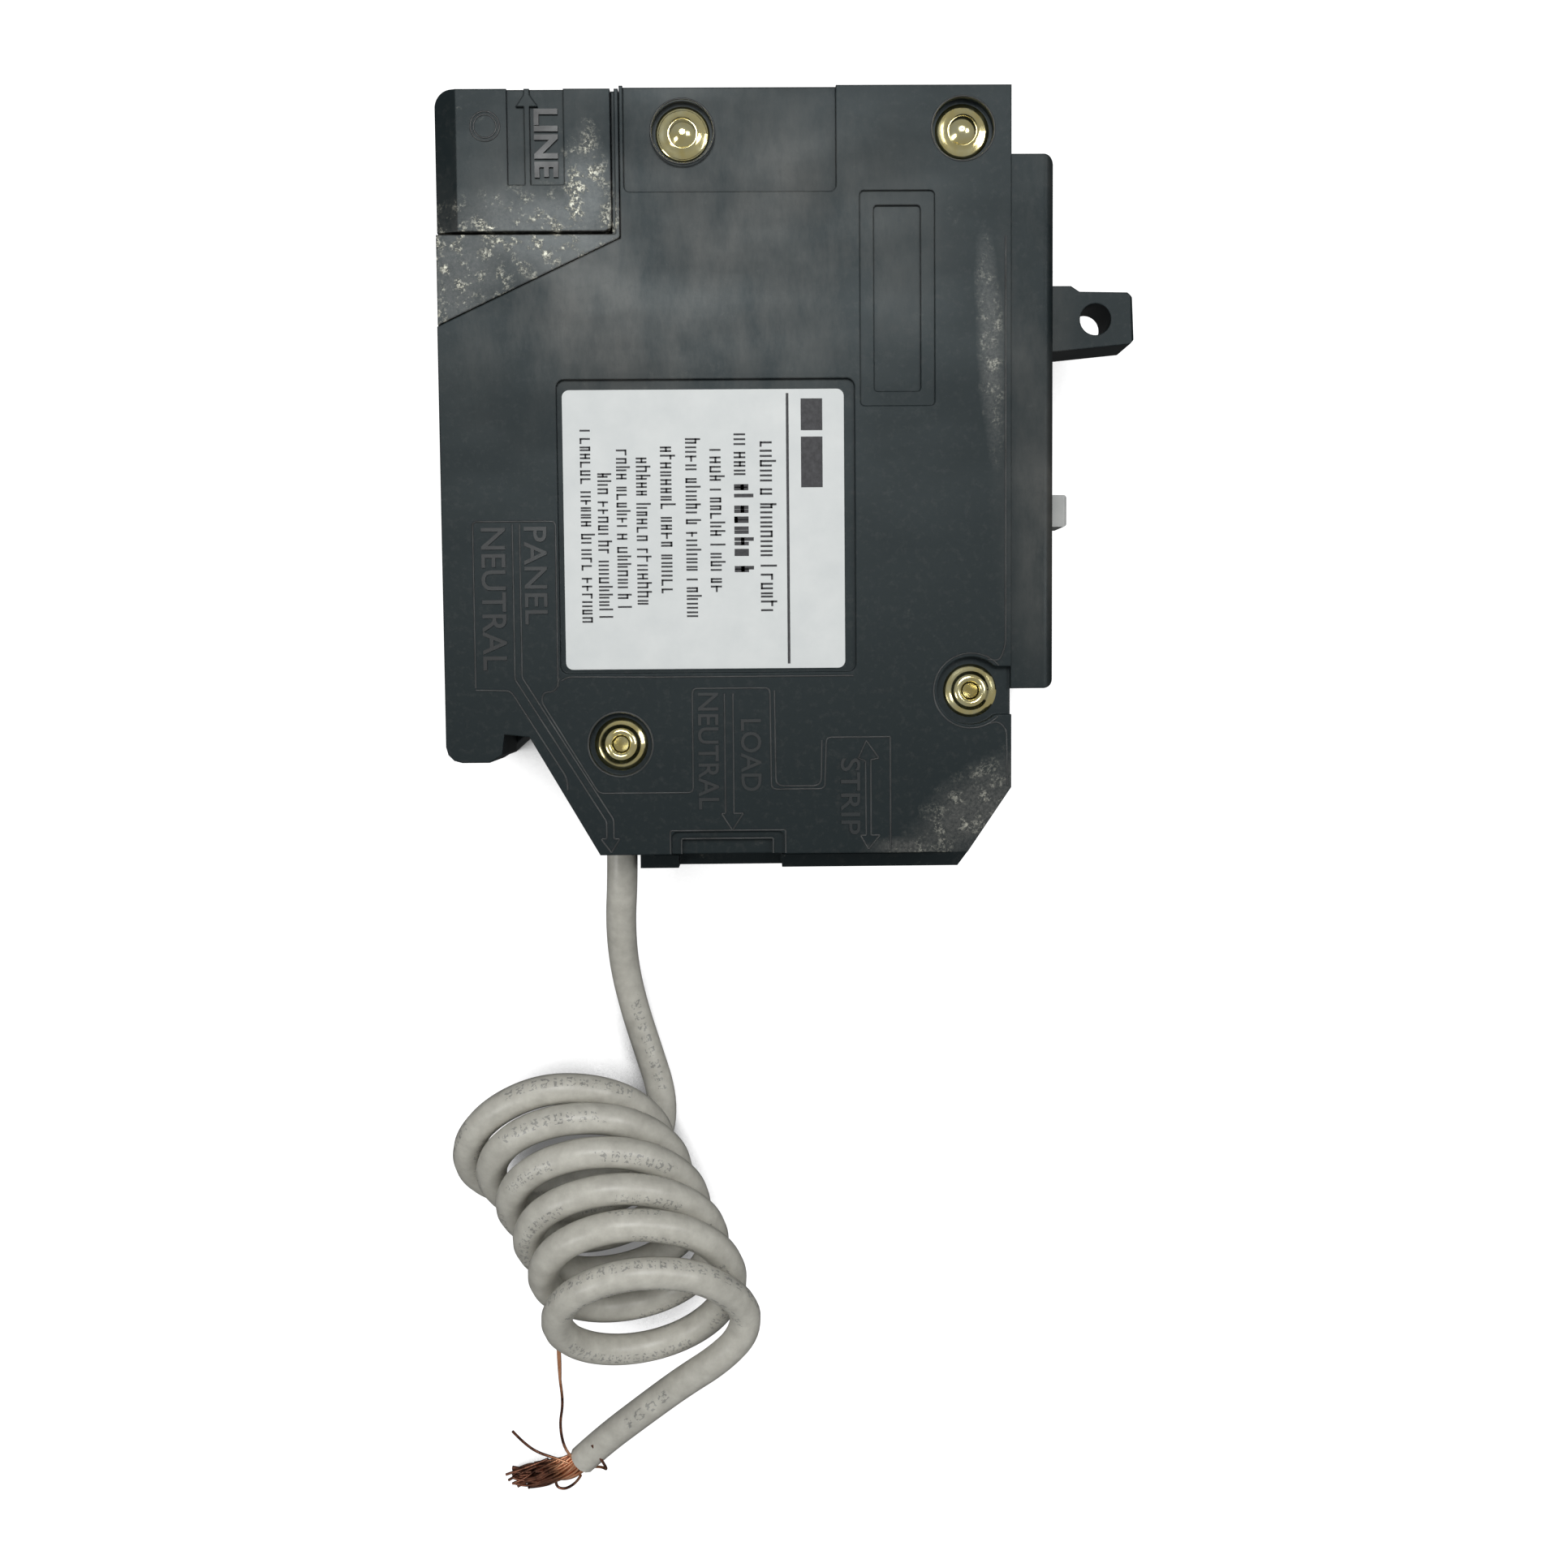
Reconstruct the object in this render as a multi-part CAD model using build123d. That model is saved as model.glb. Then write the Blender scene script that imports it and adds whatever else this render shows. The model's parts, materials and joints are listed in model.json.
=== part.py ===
from build123d import *
import math
import os

# GFCI breaker lying on its far side: +X is the nose, +Y the line end, +Z the near side. Millimetres.

# Case
DEPTH_LEFT, DEPTH_RIGHT = -31.75, 31.75
LINE_END, LOAD_END = 42.3, -42.4
THICK = 25.4
WALL = 1.6
PLATE_LOW, PLATE_HIGH = 12.4, 13.6
RAIL_FOOT_END = -31.85
LEDGE_END = -45.4
TOWER_RIGHT, TOWER_LOW, TOWER_TOP = -12.4, 26.7, 42.0
TOWER_ROUND, MARK_DEEP = 1.8, 0.4
ARROW_HEAD = [(-22.7, 40.1), (-20.3, 40.1), (-21.5, 41.85)]

# Nose
NOSE_FRONT = 36.6
NOSE_LOW, NOSE_TOP = -24.0, 35.0
NOSE_FAR, NOSE_NEAR = 0.6, 24.8
NOSE_EDGE = 1.2
NOSE_INNER = NOSE_FRONT - WALL

# Rivets: centre, counterbore radius
CAP_RIVETS = [(-4.5, 37.4, 3.4), (26.4, 37.6, 3.4)]
OPEN_RIVETS = [(27.2, -24.2, 3.8), (-12.2, -29.9, 3.55)]
RIVET_SHANK, RIVET_HEAD, RIVET_BORE = 2.0, 3.0, 2.05
RIVET_SEAT_NEAR, RIVET_SEAT_FAR = 24.1, 1.8
HEAD_THICK = 0.9
BOSS = 4.7
DOMED_HEAD = [(0.0, 1.22), (0.7, 1.12), (1.3, 0.78), (1.8, 0.46), (2.4, 0.32), (2.8, 0.2), (RIVET_HEAD, 0.05)]
ROLLED_HEAD = [
    (0.85, 0.1), (0.95, 0.6), (1.35, 0.92), (1.8, 0.8), (2.15, 0.46), (2.7, 0.24), (RIVET_HEAD, 0.05),
]
CROWN_GROOVE = (1.62, 0.1)

# Handle
PIVOT = (24.5, 18.5)
DRUM_OUT, DRUM_IN = 10.2, 8.4
HANDLE_LOW, HANDLE_HIGH = 8.9, 16.5
HUB_LOW, HUB_HIGH, HUB_RADIUS = 2.7, 12.0, 3.2
HANDLE_TIP = 47.3
TIE_HOLE = (42.76, 18.49, 1.8)
SLOT_HALF = 8.2
PIN_RADIUS, PIN_BORE = 1.2, 1.26
PIN_FLOOR = 0.8

# Contact arm
ARM_PIVOT = (16.5, 23.0)
ARM_LOW, ARM_HIGH, ARM_HALF = 5.6, 8.6, 2.0
ARM_TIP = -6.0
CONTACT_AT = -4.0

# Cradle and armature
CRADLE_PIVOT = (9.0, 33.5)
CRADLE_LOW, CRADLE_HIGH = 2.4, 4.4
ARMATURE_PIVOT = (6.5, -27.0)
SMALL_PIN, SMALL_BORE = 0.8, 0.86

# Test button
BUTTON_LOW, BUTTON_HIGH = -5.3, -1.6
BUTTON_FAR, BUTTON_NEAR = 9.4, 16.0
BUTTON_TIP = 39.6
STEM_SLOT = (-4.85, -2.05, 11.2, 14.2)

# Terminals: lug centre in X and Z
LOAD_LUG = (14.0, 7.0)
NEUTRAL_LUG = (-0.4, 18.3)
LUG_HALF_X, LUG_HALF_Z = 4.5, 4.5
LUG_LOW, LUG_HIGH = -40.7, -33.2
SCREW_Y = -37.2
SCREW_RADIUS, SCREW_HEAD = 1.7, 2.9

# Sensing transformers and trip solenoid
TOROID_AT = (12.4, -25.5)
TOROID_RADIUS, TOROID_HOLE = 6.0, 2.6
SOLENOID_Y, SOLENOID_Z = -6.6, 19.5

# Pigtail
CORD = 1.85
EXIT_X, EXIT_Z = -13.3, 10.4
COIL_TURNS = 6
COIL_TILT, COIL_TWIST = 40.0, 11.0
COIL_FIRST = (-20.95, -79.4, 10.15)
COIL_STEP = (2.24, -3.63, 1.8)
COIL_FIRST_RADIUS, COIL_LAST_RADIUS = 11.3, 10.8
LEAD = [
    (EXIT_X, -38.6, EXIT_Z), (EXIT_X, -46.4, 10.3), (-13.9, -52.5, 7.4), (-13.8, -58.6, 3.8),
    (-12.7, -64.4, 2.0), (-11.0, -69.9, 1.88), (-9.3, -75.4, 1.9), (-9.5, -80.2, 1.95),
    (-11.9, -83.5, 1.9), (-15.7, -85.4, 1.88), (-20.4, -86.3, 1.89),
]
TAIL = [
    (-1.8, -91.7, 23.3), (1.2, -96.0, 19.2), (1.0, -100.3, 16.6), (-2.2, -104.1, 15.0),
    (-6.6, -107.9, 12.8), (-11.9, -113.1, 10.0), (-17.0, -118.4, 7.0), (-19.8, -121.5, 5.4),
]


def block(x0, x1, y0, y1, z0, z1):
    return Pos((x0 + x1) / 2, (y0 + y1) / 2, (z0 + z1) / 2) * Box(x1 - x0, y1 - y0, z1 - z0)


def rod(x, y, z0, z1, radius):
    return Pos(x, y, (z0 + z1) / 2) * Cylinder(radius, z1 - z0)


def rod_x(x0, x1, y, z, radius):
    return Pos((x0 + x1) / 2, y, z) * Rot(0, 90, 0) * Cylinder(radius, x1 - x0)


def rod_y(x, y0, y1, z, radius):
    return Pos(x, (y0 + y1) / 2, z) * Rot(90, 0, 0) * Cylinder(radius, y1 - y0)


def prism(points, z0, z1):
    return extrude(Pos(0, 0, z0) * make_face(Polyline(*points, close=True)), z1 - z0)


def inset(points, amount):
    return offset(make_face(Polyline(*points, close=True)), -amount, kind=Kind.INTERSECTION)


def shell(points, z0, z1, floor_low, floor_high):
    """A prism with a cavity inside its walls between the two floor heights."""
    cavity = extrude(Pos(0, 0, floor_low) * inset(points, WALL), floor_high - floor_low)
    return prism(points, z0, z1) - cavity


def coil_spring(length, radius, wire, turns):
    """A coiled spring drawn as a beaded sleeve from z = 0 up to its length."""
    pitch = length / turns
    outline = [(radius - wire, 0)]
    for turn in range(turns):
        outline += [(radius, pitch * (turn + 0.3)), (radius, pitch * (turn + 0.7))]
        if turn < turns - 1:
            outline.append((radius - wire * 0.7, pitch * (turn + 1)))
    outline += [(radius - wire, length)]
    profile = make_face(Polyline(*[(x, 0, z) for x, z in outline], close=True))
    return revolve(profile, Axis.Z)


def save(name, shape):
    export_step(shape, f"parts/{name}.step")


# ---------------------------------------------------------------- case outlines

LEFT, RIGHT = DEPTH_LEFT, DEPTH_RIGHT
GROOVE_LOW, GROOVE_HIGH = (LEFT, 16.4), (-11.4, 25.9)
FOOT_ROUND = [(-29.95, RAIL_FOOT_END), (-30.85, -31.6), (-31.5, -30.95), (LEFT, -30.05)]

COVER_OUTLINE = [
    (-11.4, LINE_END), (RIGHT, LINE_END), (RIGHT, -35.1), (26.8, LOAD_END), (-14.65, LOAD_END),
    (-22.4, -29.0), (-25.2, -28.7), (-25.5, -31.0), (-26.9, RAIL_FOOT_END), *FOOT_ROUND,
    GROOVE_LOW, GROOVE_HIGH,
]
BASE_OUTLINE = [
    (LEFT, TOWER_TOP), (TOWER_RIGHT, TOWER_TOP), (TOWER_RIGHT, LINE_END), (RIGHT, LINE_END),
    (RIGHT, -38.7), (28.3, -43.8), (27.1, LEDGE_END), (-11.0, LEDGE_END), (-11.0, LOAD_END),
    (-14.65, LOAD_END), (-22.4, -29.0), (-24.3, -29.2), (-27.3, RAIL_FOOT_END), *FOOT_ROUND,
]
FRAME_OUTLINE = [
    (-31.7, 26.3), (TOWER_RIGHT, 26.3), (TOWER_RIGHT, LINE_END - 0.1), (RIGHT - 0.1, LINE_END - 0.1),
    (RIGHT - 0.1, -35.1), (26.8, LOAD_END + 0.1), (-14.6, LOAD_END + 0.1), (-22.3, -29.2),
    (-24.3, -29.2), (-27.3, RAIL_FOOT_END + 0.1), (-29.95, RAIL_FOOT_END + 0.1), (-31.7, -30.2),
]


def nose_solid():
    body = block(RIGHT - 4, NOSE_FRONT, NOSE_LOW, NOSE_TOP, NOSE_FAR, NOSE_NEAR)
    front = body.faces().sort_by(Axis.X)[-1].edges()
    return fillet(front, NOSE_EDGE)


def nose_space():
    return block(RIGHT - 5, NOSE_INNER, NOSE_LOW + WALL, NOSE_TOP - WALL, WALL + 0.8, NOSE_NEAR - WALL)


def nose_cuts():
    """The handle slot, the test button slot and the room that the handle drum turns in."""
    slot = block(
        NOSE_INNER - 1, NOSE_FRONT + 1, PIVOT[1] - SLOT_HALF, PIVOT[1] + SLOT_HALF,
        HANDLE_LOW - 0.4, HANDLE_HIGH + 0.4,
    )
    button = block(
        NOSE_INNER - 1, NOSE_FRONT + 1, BUTTON_LOW - 0.3, BUTTON_HIGH + 0.3,
        BUTTON_FAR - 0.3, BUTTON_NEAR + 0.3,
    )
    return slot + button


def rivet_bosses(z0, z1):
    bosses = [rod(x, y, z0, z1, BOSS) for x, y, _ in CAP_RIVETS + OPEN_RIVETS]
    return bosses[0] + bosses[1:]


def rivet_cuts():
    cuts = []
    for x, y, counterbore in CAP_RIVETS + OPEN_RIVETS:
        cuts.append(rod(x, y, -1, THICK + 1, RIVET_BORE))
        cuts.append(rod(x, y, RIVET_SEAT_NEAR, THICK + 1, counterbore))
        cuts.append(rod(x, y, -1, RIVET_SEAT_FAR, 3.3))
    return cuts


def pin_socket(at, radius, z1):
    """A pin's boss on the far floor."""
    return rod(at[0], at[1], WALL - 0.6, z1, radius)


# ---------------------------------------------------------------- case moldings

def base_case():
    body = shell(BASE_OUTLINE, 0, PLATE_LOW, WALL, PLATE_LOW + 1)
    divider = block(TOWER_RIGHT - WALL, TOWER_RIGHT, TOWER_LOW, TOWER_TOP - 1, WALL - 0.5, PLATE_LOW)
    floor_wall = block(LEFT + 1, TOWER_RIGHT, TOWER_LOW, TOWER_LOW + WALL, WALL - 0.5, PLATE_LOW)
    body += [tower(), divider, floor_wall]
    body += nose_solid() & block(0, 60, -60, 60, 0, PLATE_LOW)
    body -= nose_space() & block(0, 60, -60, 60, 0, PLATE_LOW + 1)
    body += rivet_bosses(0.2, PLATE_LOW) & prism(BASE_OUTLINE, 0, PLATE_LOW)
    body += [pin_socket(CRADLE_PIVOT, 1.6, 2.1), pin_socket(ARMATURE_PIVOT, 1.6, 3.4)]
    body += seat_rib(WALL - 0.5, PLATE_LOW)
    body += wire_guides_far()
    cuts = rivet_cuts() + [nose_cuts()]
    for at, radius in pins():
        cuts.append(rod(at[0], at[1], PIN_FLOOR, 4, radius))
    cuts.append(stab_slot())
    cuts.append(block(TOWER_RIGHT - 3, TOWER_RIGHT + 3, 30.6, 32.7, 4.6, 9.6))
    cuts.append(block(EXIT_X - CORD - 0.2, EXIT_X + CORD + 0.2, -44, -39, EXIT_Z, PLATE_LOW + 1))
    cuts.append(rod_y(EXIT_X, -44, -39, EXIT_Z, CORD + 0.2))
    cuts.append(block(
        EXIT_X - CORD - 1, EXIT_X + CORD + 0.2, LOAD_END - 1, LOAD_END + 0.5,
        EXIT_Z - 2, PLATE_LOW + 1,
    ))
    cuts.append(block(-6.4, 6.0, LEDGE_END - 1, LOAD_END + 0.1, 8.6, PLATE_LOW + 1))
    cuts.append(terminal_window(LOAD_LUG, LEDGE_END - 1))
    cuts.append(screw_access(LOAD_LUG))
    return body - cuts


def tower():
    """The line-end block that reaches the near side, with its bevelled rail edge and its marked recess."""
    body = block(LEFT + 0.05, TOWER_RIGHT, TOWER_LOW, TOWER_TOP, PLATE_LOW - 6, THICK)
    rail_corner = body.edges().filter_by(Axis.Z).sort_by(Axis.Y)[-2:].sort_by(Axis.X)[0]
    body = fillet(rail_corner, TOWER_ROUND)
    inner_corner = body.edges().filter_by(Axis.Z).sort_by(Axis.Y)[:2].sort_by(Axis.X)[-1]
    body = fillet(inner_corner, 0.9)
    body -= block(LEFT + WALL, TOWER_RIGHT - WALL, TOWER_LOW + WALL, TOWER_TOP - WALL, 0, THICK - WALL)
    slope = Polyline(
        (LEFT - 1, THICK - 1.25), (-29.3, THICK), (-29.3, THICK + 1), (LEFT - 1, THICK + 1), close=True,
    )
    body -= Pos(0, TOWER_TOP + 1, 0) * extrude(Plane.XZ * make_face(slope), TOWER_TOP)
    body -= block(-23.7, -21.8, 31.7, TOWER_TOP + 1, THICK - MARK_DEEP, THICK + 1)
    body -= block(-21.2, -17.5, 31.7, TOWER_TOP + 1, THICK - MARK_DEEP, THICK + 1)
    return body + prism(ARROW_HEAD, THICK - MARK_DEEP - 0.2, THICK)


def wire_guides_far():
    """Ribs that hold the load lug and the magnet."""
    x, z = LOAD_LUG
    left = block(x - LUG_HALF_X - 1.3, x - LUG_HALF_X - 0.1, LEDGE_END + 1, LUG_LOW + 1, WALL - 0.5, 8)
    right = block(x + LUG_HALF_X + 0.1, x + LUG_HALF_X + 1.3, LEDGE_END + 1, LUG_LOW + 1, WALL - 0.5, 8)
    magnet = block(-5.0, -3.4, -24, -14, WALL - 0.5, 9)
    spring = block(10.9, 12.4, -22, -17, WALL - 0.5, 9)
    return [left, right, magnet, spring]


def pins():
    return [
        (PIVOT, PIN_RADIUS + 0.02), (ARM_PIVOT, PIN_RADIUS + 0.02),
        (CRADLE_PIVOT, SMALL_PIN + 0.02), (ARMATURE_PIVOT, SMALL_PIN + 0.02),
    ]


def seat_rib(z0, z1):
    """The rib behind the test button, with the hole that its stem slides in."""
    y0, y1, s0, s1 = STEM_SLOT
    return block(28.4, 29.6, -8, 1, z0, z1) - block(27, 31, y0, y1, s0, s1)


def stab_slot():
    """The slot at the rail side that a bus stab enters."""
    return block(LEFT - 1, LEFT + WALL + 0.4, 32.0, 37.4, 3.0, 22.4)


def terminal_window(lug, end):
    x, z = lug
    return block(x - 3.4, x + 3.4, end, LUG_LOW + 1, z - 3.4, z + 3.4)


def screw_access(lug):
    """The round hole in the front wall that a screwdriver goes through to the wire screw."""
    return rod_x(RIGHT - 8, RIGHT + 2, SCREW_Y, lug[1], 3.3)


def center_frame():
    body = prism(FRAME_OUTLINE, PLATE_LOW, PLATE_HIGH)
    nose = nose_solid() & block(RIGHT - 1, 60, -60, 60, PLATE_LOW, PLATE_HIGH)
    body += nose
    wedge = prism([(-31.7, 16.56), (-11.55, 25.96), (-11.6, 26.35), (-31.7, 26.35)], PLATE_LOW, THICK - 0.05)
    strip = block(-11.95, -11.5, 26.1, TOWER_TOP, PLATE_LOW, THICK - 0.05)
    filler = block(TOWER_RIGHT + 0.03, -11.9, 26.1, TOWER_TOP, PLATE_LOW, THICK - 1.0)
    body += [wedge, strip, filler]
    window = rod(PIVOT[0], PIVOT[1], PLATE_LOW - 1, PLATE_HIGH + 1, DRUM_OUT + 0.4)
    window -= rod(PIVOT[0], PIVOT[1], PLATE_LOW - 2, PLATE_HIGH + 2, DRUM_IN - 0.4)
    window &= block(PIVOT[0] - 4, 40, 0, 40, PLATE_LOW - 1, PLATE_HIGH + 1)
    cuts = [window, nose_cuts()]
    cuts.append(block(30.5, NOSE_INNER, PIVOT[1] - SLOT_HALF, PIVOT[1] + SLOT_HALF, 10, 16))
    cuts.append(block(33.0, NOSE_INNER, BUTTON_LOW - 1.6, BUTTON_HIGH + 1.6, 10, 16))
    cuts.append(block(26.0, 33.1, BUTTON_LOW - 1.6, BUTTON_HIGH + 1.6, 10, 16))
    cuts.append(block(6.6, 10.8, SOLENOID_Y - 2.3, SOLENOID_Y + 2.3, 10, 16))
    cuts.append(rod(TOROID_AT[0], TOROID_AT[1], 10, 16, 2.0))
    cuts.append(block(2.0, 6.0, -31.4, -28.6, 10, 16))
    for x, y, _ in CAP_RIVETS + OPEN_RIVETS:
        cuts.append(rod(x, y, 10, 16, RIVET_BORE))
    return body - cuts


def cover():
    body = shell(COVER_OUTLINE, PLATE_HIGH, THICK, PLATE_HIGH - 1, THICK - 2.4)
    body += nose_solid() & block(0, 60, -60, 60, PLATE_HIGH, THICK)
    body -= nose_space() & block(0, 60, -60, 60, PLATE_HIGH - 1, THICK)
    body += rivet_bosses(PLATE_HIGH, THICK) & prism(COVER_OUTLINE, PLATE_HIGH, THICK)
    body += seat_rib(PLATE_HIGH, THICK - 2)
    cuts = rivet_cuts() + [nose_cuts()]
    cuts.append(recess(-18.8, 14.3, -21.95, 10.55, 0.9, 0.5))
    cuts.append(recess(-11.0, 12.4, 30.9, LINE_END + 2, 0.7, 0.7))
    cuts.append(recess(14.95, 23.25, 7.5, 30.95, 0.5, 0.25))
    cuts.append(recess(16.5, 21.7, 9.1, 29.4, 0.4, 0.6))
    cuts.append(recess(-6.6, 6.1, LOAD_END - 2, -39.85, 0.7, 0.5))
    cuts.append(block(-5.4, 4.75, LOAD_END - 1, -40.7, THICK - 0.95, THICK + 1))
    cuts.append(rivet_lips())
    cuts.append(terminal_window(NEUTRAL_LUG, LOAD_END - 1))
    cuts.append(screw_access(NEUTRAL_LUG))
    return body - cuts


def rivet_lips():
    """The open side of the nose rivet's counterbore, with its two rounded lips."""
    x, y, radius = OPEN_RIVETS[0]
    height = THICK + 1 - RIVET_SEAT_NEAR
    shape = Circle(radius) + Pos(3, 0) * Rectangle(6, 5.4)
    lips = shape.vertices().sort_by(Axis.X)[:2]
    shape = fillet(lips, 0.9)
    cut = Pos(x, y, RIVET_SEAT_NEAR) * extrude(shape, height)
    return cut & block(0, RIGHT, -60, 60, 0, 60)


def recess(x0, x1, y0, y1, radius, deep):
    shape = block(x0, x1, y0, y1, THICK - deep, THICK + 1)
    return fillet(shape.edges().filter_by(Axis.Z), radius)


# ---------------------------------------------------------------- rivets and labels

def rivet_head(top):
    """A turned head: a smooth curve through the points (radius, height) above its seat."""
    curve = Spline(*[(radius, 0, height) for radius, height in top])
    (inner, low), (outer, high) = top[0], top[-1]
    sides = Polyline((outer, 0, high), (outer, 0, 0), (inner, 0, 0), (inner, 0, low))
    return revolve(make_face(curve + sides), Axis.Z)


def rivet(x, y, domed):
    shank = rod(x, y, RIVET_SEAT_FAR - HEAD_THICK, RIVET_SEAT_NEAR + 0.1, RIVET_SHANK)
    far_head = rod(x, y, RIVET_SEAT_FAR - HEAD_THICK, RIVET_SEAT_FAR, RIVET_HEAD)
    near_head = Pos(x, y, RIVET_SEAT_NEAR) * rivet_head(DOMED_HEAD if domed else ROLLED_HEAD)
    body = shank + far_head + near_head
    if domed:
        radius, width = CROWN_GROOVE
        ring = rod(x, y, RIVET_SEAT_NEAR + 0.42, THICK + 1, radius) - rod(x, y, 0, THICK + 2, radius - width)
        return body - ring
    return body - rod(x, y, RIVET_SEAT_NEAR - 6, THICK, ROLLED_HEAD[0][0])


def rivets(places, domed):
    made = [rivet(x, y, domed) for x, y, _ in places]
    return Compound(children=made)


def side_label():
    body = block(-18.2, 13.1, -21.5, 9.45, THICK - 0.5, THICK - 0.38)
    return fillet(body.edges().filter_by(Axis.Z), 0.8)


def front_label():
    return block(NOSE_FRONT, NOSE_FRONT + 0.18, -0.6, 7.05, 4.0, 21.4)


# ---------------------------------------------------------------- line side conductors

def line_jaw():
    """The folded copper jaw that grips the bus stab, its mouth towards the rail side."""
    low = prism([(-26.5, 33.0), (-25.6, 33.0), (-22.5, 34.0), (-17, 33.0), (-17, 34.2), (-22.5, 35.0 - 0.6),
                 (-26.5, 33.8)], 4.0, 21.0)
    high = prism([(-26.5, 36.6), (-26.5, 35.9), (-22.5, 35.2), (-17, 35.4), (-17, 36.6), (-22.5, 35.9)],
                 4.0, 21.0)
    back = block(-17, -15.8, 33.0, 36.6, 4.0, 21.0)
    return low + high + back


def jaw_clip():
    """The steel clip that squeezes the jaw."""
    back = block(-15.6, -15.0, 31.9, 38.0, 9.0, 16.0)
    low = block(-24.0, -15.0, 31.3, 31.9, 9.0, 16.0) + block(-24.0, -23.4, 31.3, 33.4, 9.0, 16.0)
    high = block(-24.0, -15.0, 37.9, 38.5, 9.0, 16.0) + block(-24.0, -23.4, 36.3, 38.5, 9.0, 16.0)
    return back + low + high


def line_strap():
    """The copper strap from the jaw to the fixed contact."""
    run = block(-14.8, 0.6, 30.9, 32.3, 5.4, 8.8)
    rise = block(-17.0, -14.7, 30.9, 33.0, 5.4, 8.8)
    return run + rise


def fixed_contact():
    return block(-5.8, -2.2, 29.75, 30.9, 5.5, 8.7)


def arc_plates():
    plates = [block(-12.2, -7.2, 18.6 + 1.7 * i, 19.5 + 1.7 * i, 2.5, 11.5) for i in range(7)]
    return Compound(children=plates)


def arc_boards():
    return Compound(children=[block(-12.4, -7.0, 18.2, 30.4, z, z + 0.6) for z in (1.8, 11.6)])


# ---------------------------------------------------------------- handle and trip mechanism

def handle():
    """The toggle: a drum that closes the nose slot, a hub on the pin, and the part that a finger moves."""
    x, y = PIVOT
    drum = rod(x, y, HANDLE_LOW - 0.3, HANDLE_HIGH + 0.3, DRUM_OUT) - rod(x, y, 0, 30, DRUM_IN)
    web = rod(x, y, HANDLE_LOW - 0.3, PLATE_LOW - 0.5, DRUM_IN + 0.5)
    wide = [(x, y), (x + 8.0, y - 24.6), (x + 30, y - 24.6), (x + 30, y + 24.6), (x + 8.0, y + 24.6)]
    front = prism(wide, 0, 30)
    body = (drum + web) & front
    body += rod(x, y, HUB_LOW, HUB_HIGH, HUB_RADIUS)
    tongue = prism(
        [(x + DRUM_IN + 0.6, 14.75), (38.1, 14.8), (46.8, 15.65), (HANDLE_TIP, 16.2), (47.1, 21.0),
         (46.45, 21.55), (40.9, 21.65), (39.9, 22.3), (x + DRUM_IN + 0.6, 22.3)],
        HANDLE_LOW, HANDLE_HIGH,
    )
    tip_edges = tongue.faces().sort_by(Axis.X)[-1].edges()
    tongue = fillet(tip_edges, 0.5)
    body += tongue
    body -= rod(TIE_HOLE[0], TIE_HOLE[1], 0, 30, TIE_HOLE[2])
    return body - rod(x, y, 0, 30, PIN_BORE)


def pivot_pin(at, radius, z1):
    return rod(at[0], at[1], PIN_FLOOR, z1, radius)


def contact_arm():
    x, y = ARM_PIVOT
    blade = block(ARM_TIP, x, y - ARM_HALF, y + ARM_HALF, ARM_LOW, ARM_HIGH)
    hub = rod(x, y, ARM_LOW, ARM_HIGH, 2.8)
    return blade + hub - rod(x, y, 0, 30, PIN_BORE)


def moving_contact():
    top = ARM_PIVOT[1] + ARM_HALF
    return block(CONTACT_AT - 1.6, CONTACT_AT + 1.6, top, top + 1.1, ARM_LOW + 0.1, ARM_HIGH - 0.1)


def main_spring():
    """The spring that snaps the arm open, between the arm's underside and a rib."""
    return Pos(6.0, 13.5, 7.1) * Rot(-90, 0, 0) * coil_spring(7.4, 1.7, 0.7, 6)


def cradle():
    """The trip lever: a flat steel lever from its pin down to the latch on the armature."""
    x, y = CRADLE_PIVOT
    points = [(x - 2.4, y), (x - 0.6, y + 2.4), (x + 2.4, y), (12.6, 14.0),
              (9.6, 2.0), (8.8, -2.4), (6.2, -2.4),
              (6.4, 3.0), (8.6, 14.0)]
    return prism(points, CRADLE_LOW, CRADLE_HIGH) - rod(x, y, 0, 30, SMALL_BORE)


def armature():
    x, y = ARMATURE_PIVOT
    plate = block(6.0, 7.0, y, -4.0, 4.0, 9.2)
    knuckle = rod(x, y, 4.0, 9.2, 1.5)
    return plate + knuckle - rod(x, y, 0, 30, SMALL_BORE)


def armature_spring():
    return Pos(7.1, -19.5, 6.6) * Rot(0, 90, 0) * coil_spring(3.7, 1.4, 0.5, 5)


def bimetal():
    return block(1.5, 2.5, -35.6, -9.0, 4.2, 9.0)


def magnet_yoke():
    back = block(-3.2, -2.0, -24.0, -14.0, 2.8, 10.4)
    arms = block(-2.2, 4.8, -24.0, -14.0, 2.8, 3.8) + block(-2.2, 4.8, -24.0, -14.0, 9.4, 10.4)
    return back + arms


def flex_braid():
    """The flexible copper braid from the arm to the bimetal."""
    path = FilletPolyline(
        (0.5, 20.95, 7.1), (0.5, 15.0, 7.1), (-2.6, 8.0, 7.1), (-2.4, 0.5, 7.1),
        (2.0, -4.4, 7.1), (2.0, -8.9, 7.1),
        radius=[4.0, 5.0, 5.0, 4.0],
    )
    return sweep(Plane(origin=path @ 0, z_dir=path % 0) * Circle(1.0), path=path)


def load_strap():
    foot = block(2.5, 3.8, -39.0, -32.6, 4.2, 9.0)
    run = block(3.7, 9.4, -39.0, -37.8, 4.2, 9.0)
    return foot + run - rod_x(0, 6, -34.2, 6.6, 1.15)


def calibration_screw():
    return rod_x(2.55, 6.4, -34.2, 6.6, 1.1) + rod_x(6.4, 7.6, -34.2, 6.6, 2.0)


# ---------------------------------------------------------------- wire terminals

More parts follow.
